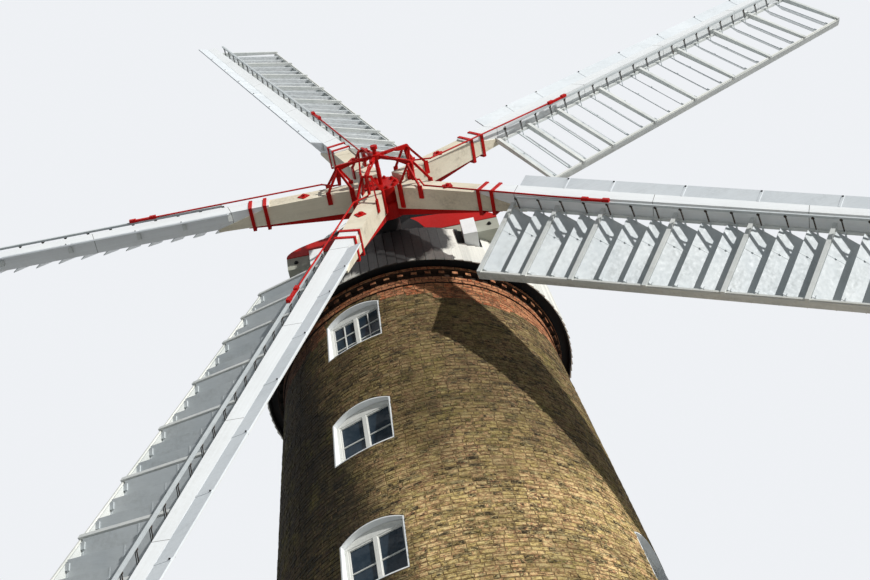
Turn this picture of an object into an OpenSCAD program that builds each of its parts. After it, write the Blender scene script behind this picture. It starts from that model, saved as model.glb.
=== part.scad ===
// Five-sailed brick tower mill with patent sails, an ogee cap and a fantail.
// Origin: centre of the tower on the ground. The sails face -Y, Z is up, millimetres.

/* [Tower] */
// Height of the tapering brickwork, ground to cornice
tower_h = 18700; // [18500:50:21000]
// Outside radius of the brickwork at the ground
base_r = 4105; // [3600:5:4600]
// Outside radius of the brickwork under the cornice
top_r = 2430; // [2400:5:2450]
// Wall thickness at the ground
wall_base = 700; // [500:10:900]
// Wall thickness under the cornice
wall_top = 400; // [330:10:430]
// Height of one course of brick with its joint
course_h = 75; // [65:1:80]
// Thickness of the timber floors
floor_t = 120; // [80:5:200]

/* [Storeys] */
// Floor to floor height of the upper storeys
storey_h = 2540; // [2400:10:2580]
// Height of the top room, from its floor to the cornice
top_room_h = 1880; // [1880:10:2000]
// Height of a window sill above its floor
sill_h = 750; // [600:10:790]
// Height of the ground floor window sills
ground_sill = 1250; // [900:10:1500]

/* [Windows and doors] */
// Clear width of a window opening in the brick
win_w = 1010; // [800:10:1200]
// Height from sill to the springing of the arch
win_h = 930; // [800:10:950]
// Rise of the segmental arch over a window
arch_rise = 150; // [100:5:180]
// Depth from the wall face to the window frame
reveal = 190; // [120:5:230]
// Angle of the front window column left of the front
win_turn = 22; // [16:1:28]
// Width of a door opening
door_w = 1150; // [1000:10:1300]
// Height of a door opening above the floor, to its springing
door_h = 2050; // [1900:10:2200]
// Rise of the segmental arch over a door
door_rise = 120; // [100:5:130]
// Face width of the window and door frame members
frame_w = 70; // [50:5:90]
// Depth of the frame members
frame_d = 80; // [60:5:100]
// Thickness of the painted reveal lining
lining_t = 22; // [15:1:30]
// Thickness of the glass
glass_t = 6; // [4:1:10]

/* [Cap] */
// Radius of the lower edge of the petticoat
skirt_r = 2735; // [2725:5:2760]
// Radius where the petticoat meets the dome
waist_r = 2680; // [2660:5:2700]
// Thickness of the petticoat and dome boarding
board_t = 30; // [20:1:34]
// Height from the cornice foot to the top of the ball
cap_h = 5700; // [5500:50:6200]
// Clearance between the curb on the tower and the turning cap
curb_gap = 6; // [5:1:10]
// Spacing of the two sheers, the long cap timbers
sheer_spacing = 2640; // [2600:20:2700]
// Width of a sheer
sheer_w = 240; // [200:10:260]
// Height of a sheer
sheer_h = 420; // [400:5:430]
// Length of the weather beam across the cap front
beam_l = 3720; // [3600:20:3800]
// Height of the weather beam at its ends
beam_h = 320; // [300:5:340]
// Rise of the painted arch on the weather beam
arch_up = 460; // [400:5:500]

/* [Windshaft] */
// Upward tilt of the windshaft
shaft_tilt = 12.5; // [12:0.1:13]
// Radius of the windshaft at the neck
neck_r = 200; // [170:5:220]
// Radius of the windshaft at the tail
tail_r = 100; // [80:2:104]
// Running clearance of the windshaft in its bearings
run_gap = 0.1; // [0.05:0.01:0.1]
// Distance of the sail front plane ahead of the tower axis
hub_ahead = 3480; // [3460:5:3600]
// Height of the hub above the cornice foot
hub_up = 1657; // [1645:1:1670]
// Radius of the hub of the iron cross
hub_r = 380; // [330:5:400]
// Length of an arm of the iron cross from the hub centre
arm_r = 2350; // [2300:10:2450]

/* [Sails] */
// Number of sails
sails = 5; // [5:5]
// Turn of the first sail from the horizontal
sail_turn = -36.85; // [-72:0.01:72]
// Radius of the sail tip
sail_r = 11260; // [11250:10:11500]
// Width of the back, the stout timber that is bolted to the cross
back_w = 320; // [310:5:340]
// Depth of the back at the hub
back_d = 420; // [380:5:440]
// Radius where the whip starts as a wedge on the back
whip_start = 1930; // [1850:5:1960]
// Radius where the back ends behind the whip
back_end = 2850; // [2750:10:3000]
// Width of the whip at its heel
whip_w = 300; // [260:5:310]
// Width of the whip at its tip
whip_tip_w = 170; // [150:5:200]
// Depth of the whip at its heel
whip_d = 270; // [260:5:290]
// Depth of the whip at its tip
whip_tip_d = 240; // [236:2:250]
// Distance from the hub centre to the first sail bar
heel_r = 2612; // [2600:2:2640]
// Distance between shutter pivots along the sail
shutter_pitch = 392; // [385:1:392]
// Shutters in each bay from heel to tip
bay_shutters = [2, 2, 3, 3, 3, 3, 3, 3];
// Breadth from the whip centre line to the hemlath
sail_breadth = 1574; // [1400:2:1650]
// Weather angle of the first sail bar
weather_heel = 22; // [18:0.5:24]
// Weather angle of the last sail bar
weather_tip = 14; // [10:0.5:16]
// Opening angle of the shutters
shutter_angle = 36; // [35:1:45]
// Breadth of one shutter
shutter_w = 384; // [340:2:384]
// Thickness of a shutter
shutter_t = 14; // [10:1:18]
// Width of the leading board
leader_w = 240; // [200:5:300]
// Forward slope of the leading board
leader_slope = 20; // [10:1:30]
// Thickness of the leading board
leader_t = 22; // [16:1:30]

/* [Striking gear] */
// Distance of the bell crank pivots from the shaft axis
crank_r = 670; // [640:5:700]
// Distance of the bell crank pivots ahead of the sail plane
crank_z = 350; // [320:5:380]
// Thickness of the bell cranks and the spider arms
crank_t = 40; // [30:2:44]
// Distance of the spider ahead of the sail plane
spider_z = 440; // [420:5:460]
// Radius of the striking rods along the sails
rod_r = 14; // [10:1:18]

/* [Fantail] */
// Radius of the fan
fan_r = 1300; // [1000:10:1320]
// Number of fan blades
fan_blades = 6; // [5:1:8]

/* [Hidden] */
$fn = 96;

brick_red = [0.55, 0.32, 0.22];
brick_buff = [0.56, 0.44, 0.29];
white_paint = [0.9, 0.9, 0.87];
red_paint = [0.72, 0.09, 0.06];
timber = [0.45, 0.36, 0.26];
iron = [0.12, 0.12, 0.13];
glass_blue = [0.5, 0.6, 0.68, 0.4];

// Clearance of fixed pieces that seat on each other's sides
seat_gap = 0.3;
// Facets of the large cones, fine enough for thin pieces trimmed by them
large_fn = 360;

// Wall parts, each second one centred on a window column
wall_parts = 8;
part_angle = 360 / wall_parts;
first_part_angle = 270 - win_turn - part_angle / 2;
// Joint between two wall parts, as an angle
part_gap = 0.006;
upper_storeys = 6;
// Upper storeys that have a window in the side columns
side_rows = [1, 3];

function outer_r(z) = base_r + (top_r - base_r) * z / tower_h;
function inner_r(z) = outer_r(z) - (wall_base + (wall_top - wall_base) * z / tower_h);
function floor_z(row) = tower_h - top_room_h - (upper_storeys - 1 - row) * storey_h;
function sum_to(list, n) = n <= 0 ? 0 : list[n - 1] + sum_to(list, n - 1);
function mix(a, b, t) = a + (b - a) * t;

// Straight bar from a to b, w wide and d deep, rolled about its own line
module bar(a, b, w, d, roll = 0) {
  v = b - a;
  turn = atan2(v[1], v[0]);
  rise = asin(v[2] / norm(v));
  translate(a) rotate([0, -rise, turn]) rotate([roll, 0, 0]) translate([0, -w / 2, -d / 2])
    cube([norm(v), w, d]);
}

// Round rod from a to b
module rod(a, b, r) {
  v = b - a;
  turn = atan2(v[1], v[0]);
  fall = acos(v[2] / norm(v));
  translate(a) rotate([0, fall, turn]) cylinder(h = norm(v), r = r);
}

// Brickwork

// Opening with a segmental head, standing on its sill
module arched(w, h, rise) {
  r = (w * w / 4 + rise * rise) / (2 * rise);
  intersection() {
    translate([-w / 2, 0]) square([w, h + rise]);
    translate([0, h + rise - r]) circle(r = r);
  }
}

// Turns children that face -Y to a window column: 0 front, 1 right, 2 rear, 3 left
module at_column(column) {
  rotate([0, 0, -win_turn + 90 * column]) children();
}

// Prism of an outline that stands in the XZ plane, from depth y0 forward to y1
module prism(y0, y1) {
  translate([0, y0, 0]) rotate([90, 0, 0]) linear_extrude(y0 - y1) children();
}

hole_in = 400;
hole_out = 100;

module wall_hole(w, h, rise, sill) {
  translate([0, 0, sill]) prism(hole_in - inner_r(sill + h), -base_r - hole_out) arched(w, h, rise);
}

// Sill levels of a window column
function column_sills(column) =
  column % 2 == 0
    ? concat([ground_sill], [for (row = [0 : upper_storeys - 1]) floor_z(row) + sill_h])
    : [for (row = side_rows) floor_z(row) + sill_h];

module wall_part(index) {
  column = (index - 1) / 2;
  color(brick_buff) difference() {
    rotate([0, 0, first_part_angle + part_angle * (index - 1) + part_gap / 2])
      rotate_extrude(angle = part_angle - part_gap)
        polygon([[inner_r(0), 0], [outer_r(0), 0], [outer_r(tower_h), tower_h], [inner_r(tower_h), tower_h]]);
    if (index % 2 == 1)
      at_column(column) for (sill = column_sills(column)) wall_hole(win_w, win_h, arch_rise, sill);
    if (index % 4 == 3)
      at_column(column) wall_hole(door_w, door_h, door_rise, floor_t);
  }
}

// Band of two courses, a course of alternate headers, and an oversailing course
band_out = 25;
dentil_out = 90;
oversail_out = 120;
cornice_h = 4 * course_h;
dentils = 68;
dentil_w = 103;

module cornice() {
  inside = inner_r(tower_h);
  color(brick_red) translate([0, 0, tower_h]) {
    rotate_extrude() polygon([
      [inside, seat_gap], [top_r + band_out, seat_gap], [top_r + band_out, 3 * course_h],
      [top_r + oversail_out, 3 * course_h], [top_r + oversail_out, cornice_h], [inside, cornice_h]
    ]);
    for (i = [0 : dentils - 1])
      rotate([0, 0, i * 360 / dentils]) translate([top_r, -dentil_w / 2, 2 * course_h])
        cube([dentil_out, dentil_w, course_h + 1]);
  }
}

// Iron-shod timber curb that the cap turns on
curb_h = 75;
curb_r = 2400;
curb_in = 40;

module curb() {
  inside = inner_r(tower_h) + curb_in;
  color(iron) translate([0, 0, tower_h + cornice_h])
    rotate_extrude() translate([inside, 0]) square([curb_r - inside, curb_h]);
}

// Floors

module floor_disc(z) {
  translate([0, 0, z - floor_t])
    cylinder(h = floor_t, r1 = inner_r(z - floor_t) - seat_gap, r2 = inner_r(z) - seat_gap);
}

module ground_floor() {
  color(timber) floor_disc(floor_t);
}

module upper_floors() {
  color(timber) for (row = [0 : upper_storeys - 1]) floor_disc(floor_z(row));
}

// Windows and doors

// Room above the light for the flat frame head under the arch
head_up = 40;
function frame_y(z) = reveal - outer_r(z);
function light_h(h) = h - 2 * frame_w + head_up;

// Painted lining of a reveal, flush with the wall face
module lining(w, h, rise, z) {
  intersection() {
    translate([0, 0, z]) prism(frame_y(z + h), -base_r) difference() {
      translate([0, seat_gap]) arched(w - 2 * seat_gap, h - seat_gap, rise - seat_gap);
      translate([0, lining_t]) arched(w - 2 * lining_t, h - lining_t, rise - lining_t);
    }
    cylinder(h = tower_h, r1 = base_r, r2 = top_r, $fn = large_fn);
  }
}

// Frame at the back of a reveal: arched outside, square lights inside
module frame(w, h, rise, z, mullion) {
  light = w - 2 * frame_w;
  translate([0, 0, z]) prism(frame_y(z + h) + frame_d, frame_y(z + h)) difference() {
    translate([0, seat_gap]) arched(w - 2 * seat_gap, h - seat_gap, rise - seat_gap);
    if (mullion)
      for (side = [-1, 1])
        translate([side * (light + frame_w) / 4 - (light - frame_w) / 4, frame_w])
          square([(light - frame_w) / 2, light_h(h)]);
    else
      translate([-light / 2, frame_w]) square([light, light_h(h)]);
  }
}

module window_frames(column) {
  color(white_paint) at_column(column) for (z = column_sills(column)) {
    lining(win_w, win_h, arch_rise, z);
    frame(win_w, win_h, arch_rise, z, true);
  }
}

module window_glass() {
  pane = (win_w - 3 * frame_w) / 2;
  color(glass_blue) for (column = [0 : 3]) at_column(column)
    for (z = column_sills(column), side = [-1, 1])
      translate([
        side * (pane + frame_w) / 2 - pane / 2 + seat_gap,
        frame_y(z + win_h) + frame_d / 2,
        z + frame_w + seat_gap
      ]) cube([pane - 2 * seat_gap, glass_t, light_h(win_h) - 2 * seat_gap]);
}

module door_frames() {
  color(white_paint) for (column = [1, 3]) at_column(column) {
    lining(door_w, door_h, door_rise, floor_t);
    frame(door_w, door_h, door_rise, floor_t, false);
  }
}

door_t = 45;

module doors() {
  leaf_w = door_w - 2 * frame_w - 2 * seat_gap;
  color(white_paint) for (column = [1, 3]) at_column(column)
    translate([-leaf_w / 2, frame_y(floor_t + door_h) + (frame_d - door_t) / 2, floor_t + frame_w + seat_gap])
      cube([leaf_w, door_t, light_h(door_h) - 2 * seat_gap]);
}

// Cap

ring_h = 420;
ring_in = 2200;
cap_base = tower_h + cornice_h + curb_h + curb_gap;
sheer_z = cap_base + ring_h;
sheer_top = sheer_z + sheer_h;
sheer_front = 2640;
sheer_rear = 4650;
skirt_foot = tower_h + 260;

function skirt_in(z) = mix(skirt_r, waist_r, (z - skirt_foot) / (sheer_top - skirt_foot)) - board_t;

pads = 10;
pad_l = 300;
pad_in = 20;
pad_w = 170;

// Ring that carries the sheers and the boarding, with the pads that slide on the curb
module cap_ring() {
  drop = curb_gap - seat_gap;
  color(iron) translate([0, 0, cap_base]) {
    rotate_extrude() polygon([
      [ring_in, 0], [skirt_in(cap_base) - seat_gap, 0],
      [skirt_in(sheer_z) - seat_gap, ring_h], [ring_in, ring_h]
    ]);
    for (i = [0 : pads - 1]) rotate([0, 0, i * 360 / pads])
      translate([ring_in + pad_in, -pad_l / 2, -drop]) cube([pad_w, pad_l, drop + 1]);
  }
}

// Both sheers, grown on every side for the slots they pass through
module sheer_pair(grow) {
  for (side = [-1, 1])
    translate([side * sheer_spacing / 2 - sheer_w / 2 - grow, -sheer_front - grow, sheer_z - grow])
      cube([sheer_w + 2 * grow, sheer_front + sheer_rear + 2 * grow, sheer_h + 2 * grow]);
}

module sheers() {
  color(white_paint) sheer_pair(0);
}

module cap_skirt() {
  color(white_paint) difference() {
    rotate_extrude() polygon([
      [skirt_r - board_t, skirt_foot], [skirt_r, skirt_foot],
      [waist_r, sheer_top], [waist_r - board_t, sheer_top]
    ]);
    sheer_pair(seat_gap);
    beam_slot();
  }
}

// Ogee of the dome: an outward bulge, then a hollow sweep up to the finial
cap_top = tower_h + cap_h;
ball_r = 130;
neck_h = 120;
dome_top = cap_top - 2 * ball_r - neck_h;
dome_rise = dome_top - sheer_top;
bulge = [[waist_r, 0], [waist_r, 0.12], [0.87 * waist_r, 0.32], [0.56 * waist_r, 0.6]];
sweep = [[0.56 * waist_r, 0.6], [0.436 * waist_r, 0.712], [0.1 * waist_r, 0.84], [110, 1]];
curve_steps = 8;

// Point of a cubic curve through four control points
function curve_point(c, t) =
  pow(1 - t, 3) * c[0] + 3 * t * pow(1 - t, 2) * c[1] + 3 * t * t * (1 - t) * c[2] + pow(t, 3) * c[3];
function ogee(c, from) = [for (i = [from : curve_steps]) curve_point(c, i / curve_steps)];
dome_profile = concat(ogee(bulge, 0), ogee(sweep, 1));

// Dome profile stepped in by a horizontal distance, as a closed solid of revolution
module dome_solid(inset) {
  translate([0, 0, sheer_top]) rotate_extrude($fn = large_fn) polygon(concat(
    [[0, 0]],
    [for (p = dome_profile) [p[0] - inset, p[1] * dome_rise]],
    [[0, dome_rise]]
  ));
}

beam_y = -2400;
beam_d = 340;
beam_sink = 120;
beam_z = sheer_top - beam_sink;
front_y = beam_y + beam_d + seat_gap;

module cap_dome() {
  color(white_paint) difference() {
    dome_solid(0);
    dome_solid(board_t);
    translate([-skirt_r, front_y - skirt_r, sheer_top - 1]) cube([2 * skirt_r, skirt_r, dome_rise]);
  }
}

// Dark boarding that closes the front of the dome round the windshaft, and the ledge before the beam
shaft_hole = 60;
guard_t = 30;
guard_r = 580;

module cap_front() {
  color(iron) difference() {
    union() {
      intersection() {
        dome_solid(board_t + seat_gap);
        translate([-skirt_r, front_y, sheer_top]) cube([2 * skirt_r, board_t, dome_rise]);
      }
      intersection() {
        translate([0, 0, sheer_top]) cylinder(h = board_t, r = waist_r, $fn = large_fn);
        translate([-skirt_r, -skirt_r, sheer_top])
          cube([2 * skirt_r, skirt_r + beam_y - guard_t - 2 * seat_gap, board_t]);
      }
    }
    at_shaft() translate([0, 0, -along(0)]) cylinder(h = along(0), r = neck_r + shaft_hole);
  }
}

finial_base = 40;

module finial() {
  color(white_paint) translate([0, 0, dome_top]) {
    cylinder(h = finial_base, r = ball_r);
    cylinder(h = neck_h + ball_r, r = ball_r / 3);
    translate([0, 0, neck_h + ball_r]) sphere(r = ball_r);
  }
}

// Weather beam with its painted arch, notched over the sheers and bored for the neck bearing
arch_steps = 32;
bearing_t = 60;
bearing_r = neck_r + bearing_t;
bearing_in = 40;
bearing_out = 60;

// Places children on the windshaft axis: origin in the sail front plane, Z forward
module at_shaft() {
  translate([0, -hub_ahead, tower_h + hub_up]) rotate([90 - shaft_tilt, 0, 0]) children();
}

// Distance behind the sail front plane, along the shaft, of a place y
function along(y) = (hub_ahead + y) / cos(shaft_tilt);
function shaft_z(y) = tower_h + hub_up - (hub_ahead + y) * tan(shaft_tilt);

// Slot for the beam ends in the petticoat
module beam_slot() {
  translate([-beam_l / 2 - seat_gap, beam_y - seat_gap, beam_z - seat_gap])
    cube([beam_l + 2 * seat_gap, beam_d + 2 * seat_gap, beam_h + 2 * seat_gap]);
}

module weather_beam() {
  color(white_paint) difference() {
    translate([0, 0, beam_z]) prism(beam_y + beam_d, beam_y) polygon(concat(
      [[-beam_l / 2, 0], [beam_l / 2, 0]],
      [for (i = [0 : arch_steps])
        [cos(180 * i / arch_steps) * beam_l / 2, beam_h + arch_up * sin(180 * i / arch_steps)]]
    ));
    sheer_pair(seat_gap);
    at_shaft() translate([0, 0, -along(0)]) cylinder(h = along(0), r = bearing_r);
  }
}

// Bearing of the windshaft neck with the round guard on the face of the beam
module neck_bearing() {
  rear = along(beam_y + beam_d - bearing_in);
  front = along(beam_y - bearing_out);
  color(iron) difference() {
    union() {
      at_shaft() translate([0, 0, -rear]) cylinder(h = rear - front, r = bearing_r - seat_gap);
      translate([0, 0, shaft_z(beam_y)]) prism(beam_y - seat_gap, beam_y - seat_gap - guard_t)
        circle(r = guard_r);
    }
    at_shaft() translate([0, 0, -rear - 1]) cylinder(h = rear, r = neck_r + run_gap);
  }
}

tail_y = 1100;
tail_d = 250;
tail_h = 380;

// Beam hung under the sheers that carries the tail of the windshaft
module tail_beam() {
  l = sheer_spacing + sheer_w;
  color(timber) difference() {
    translate([-l / 2, tail_y, sheer_z - tail_h - seat_gap]) cube([l, tail_d, tail_h]);
    at_shaft() translate([0, 0, -2 * along(tail_y)]) cylinder(h = 2 * along(tail_y), r = tail_r + run_gap);
  }
}

// Fantail

stage_y = 2900;
stage_l = sheer_rear - stage_y;
deck_t = 50;
deck_top = sheer_top + deck_t;
rail_h = 1000;
rail_w = 70;
fan_y = 4350;
fan_up = 2350;
fan_post_x = 420;
fan_post_w = 120;
fan_shaft_r = 40;

module fan_stage() {
  w = sheer_spacing + sheer_w;
  gap_w = 2 * (fan_post_x - fan_post_w);
  edge = sheer_spacing / 2;
  end_y = stage_y + rail_w / 2;
  rear_y = sheer_rear - rail_w / 2;
  color(white_paint) {
    difference() {
      translate([-w / 2, stage_y, sheer_top]) cube([w, stage_l, deck_t]);
      translate([-gap_w / 2, stage_y + stage_l / 4, sheer_top - 1]) cube([gap_w, stage_l / 2, deck_t + 2]);
    }
    for (side = [-1, 1], y = [end_y, (end_y + rear_y) / 2, rear_y])
      translate([side * edge - rail_w / 2, y - rail_w / 2, deck_top - 1]) cube([rail_w, rail_w, rail_h]);
    for (side = [-1, 1], up = [rail_h / 2, rail_h])
      bar([side * edge, stage_y, deck_top + up], [side * edge, sheer_rear, deck_top + up], rail_w - 10, 50);
    for (up = [rail_h / 2, rail_h])
      bar([-edge, rear_y, deck_top + up], [edge, rear_y, deck_top + up], rail_w - 20, 40);
  }
}

// A fan post seen from the side: two legs that meet at the fan shaft, with a tie between them
post_in = 120;
post_head = 80;
post_leg = 140;
post_tie_up = 900;
post_tie_top = 1020;
post_fork_up = 2050;
post_h = fan_up + 100 - deck_t;

function post_front(up) = mix(stage_y + post_in, fan_y - post_head, up / post_h);
function post_rear(up) = mix(sheer_rear - post_in, fan_y + post_head, up / post_h);

// Opening between the legs from one height above the deck to another
module post_window(low, high) {
  polygon([
    [post_front(low) + post_leg, deck_top + low], [post_rear(low) - post_leg, deck_top + low],
    [post_rear(high) - post_leg, deck_top + high], [post_front(high) + post_leg, deck_top + high]
  ]);
}

module post_outline() {
  difference() {
    polygon([
      [post_front(0), deck_top], [post_rear(0), deck_top],
      [post_rear(post_h), deck_top + post_h], [post_front(post_h), deck_top + post_h]
    ]);
    post_window(-1, post_tie_up);
    post_window(post_tie_top, post_fork_up);
    translate([fan_y, sheer_top + fan_up]) circle(r = fan_shaft_r);
  }
}

module fan_posts() {
  color(white_paint) for (side = [-1, 1])
    translate([side * fan_post_x - fan_post_w / 2, 0, 0]) rotate([90, 0, 90]) linear_extrude(fan_post_w)
      post_outline();
}

module fan() {
  boss = 110;
  blade_l = 700;
  blade_w = 320;
  blade_t = 16;
  shaft_l = 2 * fan_post_x + fan_post_w;
  color(red_paint) translate([0, fan_y, sheer_top + fan_up]) {
    rotate([0, 90, 0]) translate([0, 0, -shaft_l / 2]) cylinder(h = shaft_l, r = fan_shaft_r - seat_gap);
    rotate([0, 90, 0]) translate([0, 0, -boss]) cylinder(h = 2 * boss, r = boss);
    for (i = [0 : fan_blades - 1]) rotate([i * 360 / fan_blades, 0, 0]) {
      cylinder(h = fan_r - 100, r = 28);
      translate([0, 0, fan_r - blade_l]) rotate([0, 0, 40]) translate([-blade_w / 2, -blade_t / 2, 0])
        cube([blade_w, blade_t, blade_l]);
    }
  }
}

// Windshaft, cross and stocks of the sails

back_front = -30;
cross_d = 150;
cross_tip_d = 45;
boss_front = -330;
nose_front = -70;
nose_r = 0.8 * hub_r;
neck_y = -1900;
tail_end = 100;

// Depth of the scarf between back and whip, and of the rear face of the back
function scarf_z(r) = mix(back_front, -whip_d, (r - whip_start) / (back_end - whip_start));
function rear_z(r) = mix(back_front - back_d, -whip_d - 40, r / back_end);
function whip_half(r) = mix(whip_w, whip_tip_w, (r - whip_start) / (sail_r - whip_start)) / 2;

module windshaft() {
  front = cross_d - rear_z(0);
  rear = along(tail_y + tail_d + tail_end);
  color(iron) at_shaft() {
    translate([0, 0, -along(neck_y)]) cylinder(h = along(neck_y) - front, r = neck_r);
    translate([0, 0, -rear]) cylinder(h = rear - along(neck_y) + 1, r = tail_r);
  }
}

// Local frame of one sail: X outward along the whip, Y to the leading side, Z forward
module on_sail(index) {
  at_shaft() rotate([0, 0, sail_turn + 360 / sails * (index - 1)]) children();
}

// Timber with a plan outline in XY and a side outline in XZ
module shaped(plan, side) {
  intersection() {
    translate([0, 0, -2 * back_d]) linear_extrude(4 * back_d) polygon(plan);
    translate([0, 2 * back_w, 0]) rotate([90, 0, 0]) linear_extrude(4 * back_w) polygon(side);
  }
}

arm_w = 300;
arm_tip_w = 160;

module iron_cross() {
  color(red_paint) {
    at_shaft() translate([0, 0, rear_z(0) - cross_d])
      cylinder(h = boss_front - rear_z(0) + cross_d, r = hub_r);
    at_shaft() translate([0, 0, boss_front - 1]) cylinder(h = nose_front - boss_front + 1, r = nose_r);
    for (i = [1 : sails]) on_sail(i)
      shaped(
        [[0, -arm_w / 2], [arm_r, -arm_tip_w / 2], [arm_r, arm_tip_w / 2], [0, arm_w / 2]],
        [[0, rear_z(0) - cross_d], [arm_r, rear_z(arm_r) - cross_tip_d], [arm_r, rear_z(arm_r)], [0, rear_z(0)]]
      );
  }
}

module sail_backs() {
  start = hub_r + seat_gap;
  color(white_paint) for (i = [1 : sails]) on_sail(i) difference() {
    shaped(
      [[start, -back_w / 2], [back_end, -back_w / 2], [back_end, back_w / 2], [start, back_w / 2]],
      [
        [start, back_front], [whip_start, back_front], [back_end, scarf_z(back_end)],
        [back_end, rear_z(back_end) + seat_gap], [start, rear_z(start) + seat_gap]
      ]
    );
    bar_blank(0, seat_gap);
  }
}

module whip(index) {
  color(white_paint) on_sail(index) difference() {
    shaped(
      [
        [whip_start, -whip_half(whip_start)], [sail_r, -whip_half(sail_r)],
        [sail_r, whip_half(sail_r)], [whip_start, whip_half(whip_start)]
      ],
      [
        [whip_start, back_front], [back_end, scarf_z(back_end)], [sail_r, -whip_tip_d],
        [sail_r, 0], [whip_start, 0]
      ]
    );
    for (n = [0 : bays]) bar_blank(n, seat_gap);
  }
}

leader_drop = 24;

module leading_boards() {
  slant = atan((whip_w - whip_tip_w) / 2 / (sail_r - whip_start));
  color(white_paint) for (i = [1 : sails]) on_sail(i)
    translate([heel_r, whip_half(heel_r) + seat_gap + leader_t * sin(leader_slope), -leader_drop])
      rotate([0, 0, -slant]) rotate([leader_slope, 0, 0]) cube([sail_r - heel_r, leader_w, leader_t]);
}

// Straps round whip, back and cross arm, and a diamond plate with its bolt on each back
clamp_w = 60;
clamp_t = 16;
clamp_places = [2000, 2248];
plate_place = 1330;
plate_w = 150;

function cross_rear(r) = mix(rear_z(0) - cross_d, rear_z(arm_r) - cross_tip_d, r / arm_r);

module sail_clamps() {
  color(red_paint) for (i = [1 : sails]) on_sail(i) {
    for (r = clamp_places) {
      rear = cross_rear(r - clamp_w / 2) - seat_gap;
      translate([r - clamp_w / 2, 0, 0]) difference() {
        translate([0, -back_w / 2 - clamp_t, rear - clamp_t])
          cube([clamp_w, back_w + 2 * clamp_t, 2 * clamp_t + seat_gap - rear]);
        translate([-1, -back_w / 2 - seat_gap, rear]) cube([clamp_w + 2, back_w + 2 * seat_gap, seat_gap - rear]);
      }
    }
    translate([plate_place, 0, back_front]) {
      rotate([0, 0, 45]) translate([-plate_w / 2, -plate_w / 2, 0]) cube([plate_w, plate_w, clamp_t]);
      cylinder(h = 3 * clamp_t, r = clamp_w / 2, $fn = 6);
    }
  }
}

// Sail frame: bars mortised through the whip, hemlath at the trailing edge, rail beside the whip

bays = len(bay_shutters);
sail_span = sum_to(bay_shutters, bays) * shutter_pitch;
// Depth of the sail surface behind the whip face
bar_drop = 150;
bar_w = 64;
// Front face of the bars over the sail surface, and their rear face at the whip and the hemlath
bar_front = 40;
bar_rear = -60;
bar_hem_rear = -14;
bar_stub = 40;
hem_w = 60;
// Depth of the hemlath, a board on edge whose front is level with the rail's
hem_d = 135;
rail_in = 210;
lath_w = 45;
// Centre of the rail, and of the hemlath, which lie behind the bars
lath_up = -30;
hem_up = lath_up + (lath_w - hem_d) / 2;

function bar_r(n) = heel_r + shutter_pitch * sum_to(bay_shutters, n);
function weather(r) = mix(weather_heel, weather_tip, (r - heel_r) / sail_span);
// Point at radius r, s out on the trailing side and up in front of the sail surface
function sail_point(r, s, up) = [
  r, -s * cos(weather(r)) - up * sin(weather(r)), up * cos(weather(r)) - s * sin(weather(r)) - bar_drop
];

// Places children on the sail surface at radius r, turned to its weather angle
module on_surface(r) {
  translate([r, 0, -bar_drop]) rotate([weather(r), 0, 0]) children();
}

// One sail bar with a flat front, deep at the whip and thin at the hemlath, grown for its mortise
module bar_blank(n, grow) {
  lead = whip_half(bar_r(n)) + bar_stub;
  trail = -sail_breadth - hem_w / 2;
  on_surface(bar_r(n)) translate([-bar_w / 2 - grow, 0, 0]) rotate([90, 0, 90]) linear_extrude(bar_w + 2 * grow)
    polygon([
      [lead, bar_rear - grow], [lead, bar_front + grow],
      [trail, bar_front + grow], [trail, bar_hem_rear - grow]
    ]);
}

module sail_frame(index) {
  heel = heel_r - lath_w;
  tip = heel_r + sail_span + lath_w;
  hem_roll = weather((heel + tip) / 2);
  color(white_paint) on_sail(index) {
    for (n = [0 : bays]) bar_blank(n, 0);
    bar(sail_point(heel, sail_breadth, hem_up), sail_point(tip, sail_breadth, hem_up), hem_w, hem_d, hem_roll);
    bar(sail_point(heel, rail_in, lath_up), sail_point(tip, rail_in, lath_up), lath_w, lath_w);
  }
}

// Shutters of one sail behind its bars, joined by their cranks to the shutter bar in front
shutter_gap = 14;
shutter_in = rail_in + lath_w / 2 + shutter_gap;
shutter_up = -105;
vane_crank_in = shutter_in + 40;
vane_crank_lean = 75;
vane_crank_w = 24;
vane_crank_t = 12;
shutter_bar_in = 190;
shutter_bar_up = 225;
shutter_bar_w = 36;
shutter_bar_out = 60;
first_shutter_r = bar_r(0) + shutter_pitch / 2;
last_shutter_r = bar_r(bays) - shutter_pitch / 2;
shutter_bar_heel = sail_point(first_shutter_r - shutter_bar_out, shutter_bar_in, shutter_bar_up);
shutter_bar_tip = sail_point(last_shutter_r + shutter_bar_out, shutter_bar_in, shutter_bar_up);

module shutters(index) {
  length = sail_breadth - hem_w / 2 - shutter_gap - shutter_in;
  color(white_paint) on_sail(index) {
    for (i = [0 : sum_to(bay_shutters, bays) - 1]) on_surface(first_shutter_r + i * shutter_pitch) {
      translate([0, -shutter_in - length, shutter_up]) rotate([0, shutter_angle, 0])
        translate([-shutter_w / 2, 0, -shutter_t / 2]) cube([shutter_w, length, shutter_t]);
      bar(
        [0, -vane_crank_in, shutter_up], [-vane_crank_lean, -shutter_bar_in, shutter_bar_up],
        vane_crank_w, vane_crank_t
      );
    }
    bar(shutter_bar_heel, shutter_bar_tip, shutter_bar_w, shutter_bar_w);
  }
}

// Striking gear: the spider slides on the shaft nose and works a bell crank on each sail

spider_r = 250;
spider_rod_r = 36;
spider_nose = 170;
spider_boss_h = 90;
spider_boss_r = 95;
link_r = crank_r - 230;
link_t = 12;
crank_low = [crank_r + 20, 45];
crank_eye = 26;
pivot_r = 22;
pivot_l = 180;
stand_pad = 28;
stand_foot_z = 10;

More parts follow.
